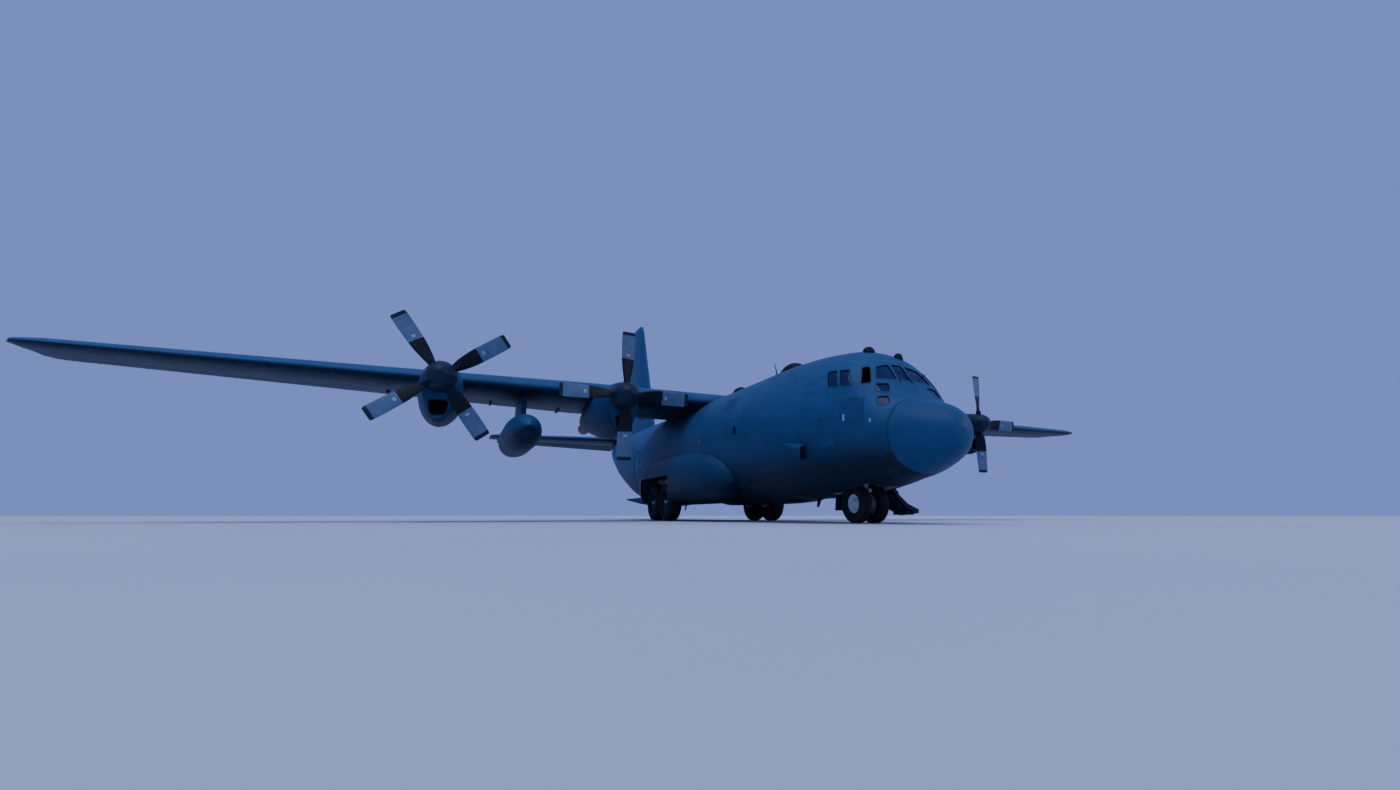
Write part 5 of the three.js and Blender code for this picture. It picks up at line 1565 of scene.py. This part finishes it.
MAIN_X, MAIN_RADIUS, MAIN_WIDTH = 2175, 710, 510
NOSE_STATION, NOSE_RADIUS, NOSE_WIDTH, NOSE_X = 3500, 495, 310, 275
LEGS = [["fore", 12510], ["aft", 14030]]
for side, name in ((1, "port"), (-1, "starboard")):
    for place_name, station in LEGS:
        which = place_name + "_" + name
        parts = wheel_parts([MAIN_X * side, station, MAIN_RADIUS], MAIN_WIDTH, MAIN_RADIUS)
        make_piece("main_tyre_" + which, parts, [tyre_rubber, cowl_paint, bare_metal],
                   "wheel_" + which, ["main_wheel_" + which])
hubs = np.array([[-NOSE_X, NOSE_STATION, NOSE_RADIUS], [NOSE_X, NOSE_STATION, NOSE_RADIUS]])
twin = [part for hub in hubs for part in wheel_parts(hub, NOSE_WIDTH, NOSE_RADIUS)]
make_piece("nose_tyres", [*twin, (*tube(hubs, 36, 20), 2)], [tyre_rubber, hub_paint, bare_metal],
           "nose_twin", ["nose_wheels"])

# %% [markdown]
# ## Legs, torque links and brakes
# A leg is mostly round parts on one line. A solid of revolution for each would do, but a tube
# with a radius at each point also draws the axles, braces and hoses that lie across it. The
# torque links are flat arms that meet at a knee pin; they let the leg slide and not twist.

# %% Legs, links and brakes
PAINTED, POLISHED, THIRD = 0, 1, 2
LINK_THICK, LINK_PIN = 16, 16


def rod(path, radius, sides, finish=PAINTED):
    """A tube with the number of its finish."""
    return (*tube(path, radius, sides), finish)


def column(x, station, heights, radii, sides, finish=PAINTED):
    """An upright rod with a radius at each height."""
    return rod([[x, station, z] for z in heights], radii, sides, finish)


def scissor_link(top, bottom, knee, width):
    """Two flat triangular arms that meet at a knee pin."""
    across = np.array([width / 2, 0, 0])
    arms = []
    for end in np.array([top, bottom], float):
        grid = np.array([[end - across, end + across], [knee - across / 2, knee + across / 2]])
        way = np.cross(knee - end, across)
        way *= LINK_THICK / 2 / np.linalg.norm(way)
        arms.append((*slab(grid + way, grid - way), PAINTED))
    arms.append(rod([knee - across * 0.7, knee + across * 0.7], LINK_PIN, 12))
    return arms


MAIN_LEG_X, AXLE_HEIGHT = 1760, 710
for side, name in ((1, "port"), (-1, "starboard")):
    for place_name, station in LEGS:
        x, s = MAIN_LEG_X * side, station
        axle_end = (MAIN_X + 215) * side
        parts = [column(x, s, [650, 930], 78, 28, POLISHED)]
        parts.append(column(x, s, [900, 960, 1600], [108, 100, 100], 28))
        parts.append(column(x, s, [600, 660, 850, 880], [90, 118, 118, 88], 28))
        parts.append(rod([[x, s, AXLE_HEIGHT], [axle_end, s, AXLE_HEIGHT]], 50, 20))
        brake = [[1850 * side, s, AXLE_HEIGHT], [1905 * side, s, AXLE_HEIGHT]]
        parts.append(rod(brake, [200, 200], 32))
        knee = np.array([x, s - 260, 985.0])
        parts += scissor_link([x, s - 90, 830], [x, s - 90, 1130], knee, 110)
        parts.append(rod([[x, s + 60, 1500], [x - 60 * side, s + 330, 1600]], 30, 12))
        hose = [[x, s + 100, 1500], [x, s + 130, 1150], [x + 40 * side, s + 120, 850],
                [1870 * side, s + 90, 760]]
        parts.append(rod(hose, 12, 8, THIRD))
        which = place_name + "_" + name
        make_piece("main_leg_detail_" + which, parts, [well_paint, bright_metal, black_trim],
                   replaces=["main_leg_" + which])
s = NOSE_STATION
parts = [column(0, s, [890, 905, 1180, 1760], [92, 100, 96, 96], 28)]
parts.append(rod([[0, s, 1330], [0, s - 820, 1690]], 45, 16))
parts.append(rod([[-598, s, 1560], [598, s, 1560]], 60, 20))
parts.append(rod([[0, s + 95, 1500], [0, s + 560, 1720]], 32, 14))
make_piece("nose_strut_detail", parts, [well_paint], replaces=["nose_strut"])

# %% [markdown]
# ## The nose's steering leg
# The nose wheels turn with a sliding tube inside the fixed strut, so it is a piece of its own
# that rides on the steering body. It carries the axle, a torque link and two taxi lamps, each
# a bowl turned on the lathe with a slightly domed glass before it.

# %% The nose's steering leg with its taxi lamps
TAXI_LAMP = [[0, 0], [0, 60], [70, 52], [90, 20], [90, 0]]
TAXI_GLASS = [[-6, 0], [0, 50], [4, 54], [6, 0]]
TAXI_X, TAXI_HEIGHT = 70, 830
parts = [column(0, s, [520, 1140], 55, 24, POLISHED)]
parts.append(rod([[x, s, NOSE_RADIUS] for x in (-84, -70, 70, 84)], [66, 80, 80, 66], 24))
parts.append(column(0, s, [500, 560, 640, 660], [70, 76, 70, 58], 24))
parts += scissor_link([0, s + 70, 620], [0, s + 70, 860], np.array([0, s + 210, 745.0]), 90)
parts.append(rod([[0, s - 80, 560], [0, s - 230, 540]], [26, 18], 12))
for x in (-TAXI_X, TAXI_X):
    parts.append((*lathe("y", [x, s - 150, TAXI_HEIGHT], TAXI_LAMP, 24), PAINTED))
    parts.append((*lathe("y", [x, s - 152, TAXI_HEIGHT], TAXI_GLASS, 24), THIRD))
parts.append(rod([[-TAXI_X, s - 80, TAXI_HEIGHT], [TAXI_X, s - 80, TAXI_HEIGHT]], 18, 12))
parts.append(rod([[0, s - 20, TAXI_HEIGHT], [0, s - 90, TAXI_HEIGHT]], 22, 12))
make_piece("nose_steering_detail", parts, [well_paint, bright_metal, lamp_glass], "nose_steering",
           ["nose_steering_leg"])

# %% [markdown]
# ## Finishes on the frame's own pieces
# Pieces whose solids already have the right shape stay as they are, and only get their paint.

# %% Paint the nodes that stay
FINISHES = {
    "flap": wing_paint, "aileron": control_paint, "elevator": control_paint,
    "rudder": control_paint, "ramp": hull_paint, "cargo_door": hull_paint,
    "crew_door": hull_paint, "cargo_floor": inner_paint, "flight_deck_floor": inner_paint,
    "nose_gear_bay": well_paint, "nose_gear_door": hull_paint,
    "engine": dark_metal, "sponson": hull_paint, "wheel_well_liner": well_paint,
}
for name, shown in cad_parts.items():
    fitting = [paint for start, paint in FINISHES.items() if name.startswith(start)]
    for slot in shown.material_slots:
        slot.material = fitting[0] if fitting else hull_paint
print("nodes painted", len(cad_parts))

# %% [markdown]
# ## Floor, light and camera
# The aircraft is seen from just above the ground. A fit to its propeller tips, wheels, wing
# tip and nose gives a wide 15 mm lens close to the starboard bow, tilted up 12 degrees.

# %% Stage, lights and camera
FLOOR_REACH, FLOOR_DARK, FLOOR_LIGHT = 600.0, (0.48, 0.53, 0.62), (0.50, 0.55, 0.64)
floor_finish, tree, shader = new_finish("pale_floor", FLOOR_LIGHT, 0.75)
place = tree.nodes.new("ShaderNodeTexCoord").outputs["Object"]
mottle = node(tree, "TexNoise", place, None, 0.35, 4.0, 0.5)
tone = blend_colors(tree, remap(tree, mottle, 0.3, 0.7), FLOOR_DARK, FLOOR_LIGHT)
tree.links.new(tone, shader.inputs["Base Color"])
mesh = bpy.data.meshes.new("studio_floor")
corners = FLOOR_REACH * np.array([[-1, -1, 0], [1, -1, 0], [1, 1, 0], [-1, 1, 0]])
mesh.from_pydata(corners.tolist(), [], [(0, 1, 2, 3)])
mesh.materials.append(floor_finish)
floor = bpy.data.objects.new("studio_floor", mesh)
bpy.context.scene.collection.objects.link(floor)
floor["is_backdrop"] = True

world = bpy.data.worlds.new("studio")
bpy.context.scene.world = world
world.use_nodes = True
background = world.node_tree.nodes["Background"]
background.inputs["Color"].default_value = (0.25, 0.36, 0.95, 1)
background.inputs["Strength"].default_value = 0.72


def soft_sun(name, strength, color, tilt, heading, width):
    """A sun with a wide disc, so that its shadows have soft edges."""
    light = bpy.data.lights.new(name, "SUN")
    light.energy, light.color, light.angle = strength, color, np.radians(width)
    lamp = bpy.data.objects.new(name, light)
    lamp.rotation_euler = (np.radians(tilt), 0, np.radians(heading))
    bpy.context.scene.collection.objects.link(lamp)


soft_sun("key_light", 1.5, (0.82, 0.89, 1.0), 24, -40, 60)
soft_sun("rim_light", 0.5, (0.92, 0.84, 1.0), 70, 60, 30)

camera = bpy.data.cameras.new("camera")
camera.lens, camera.sensor_width = 15.184, 36.0
camera.shift_x = -0.02634
camera.clip_end = 2000
viewer = bpy.data.objects.new("camera", camera)
viewer.location = (-4.8155, -11.9913, 0.0963)
viewer.rotation_euler = (np.radians(90 + 11.557), 0, np.radians(-25.370))
bpy.context.scene.collection.objects.link(viewer)
bpy.context.scene.camera = viewer

# %% The bounds of the shown pieces
low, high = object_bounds()
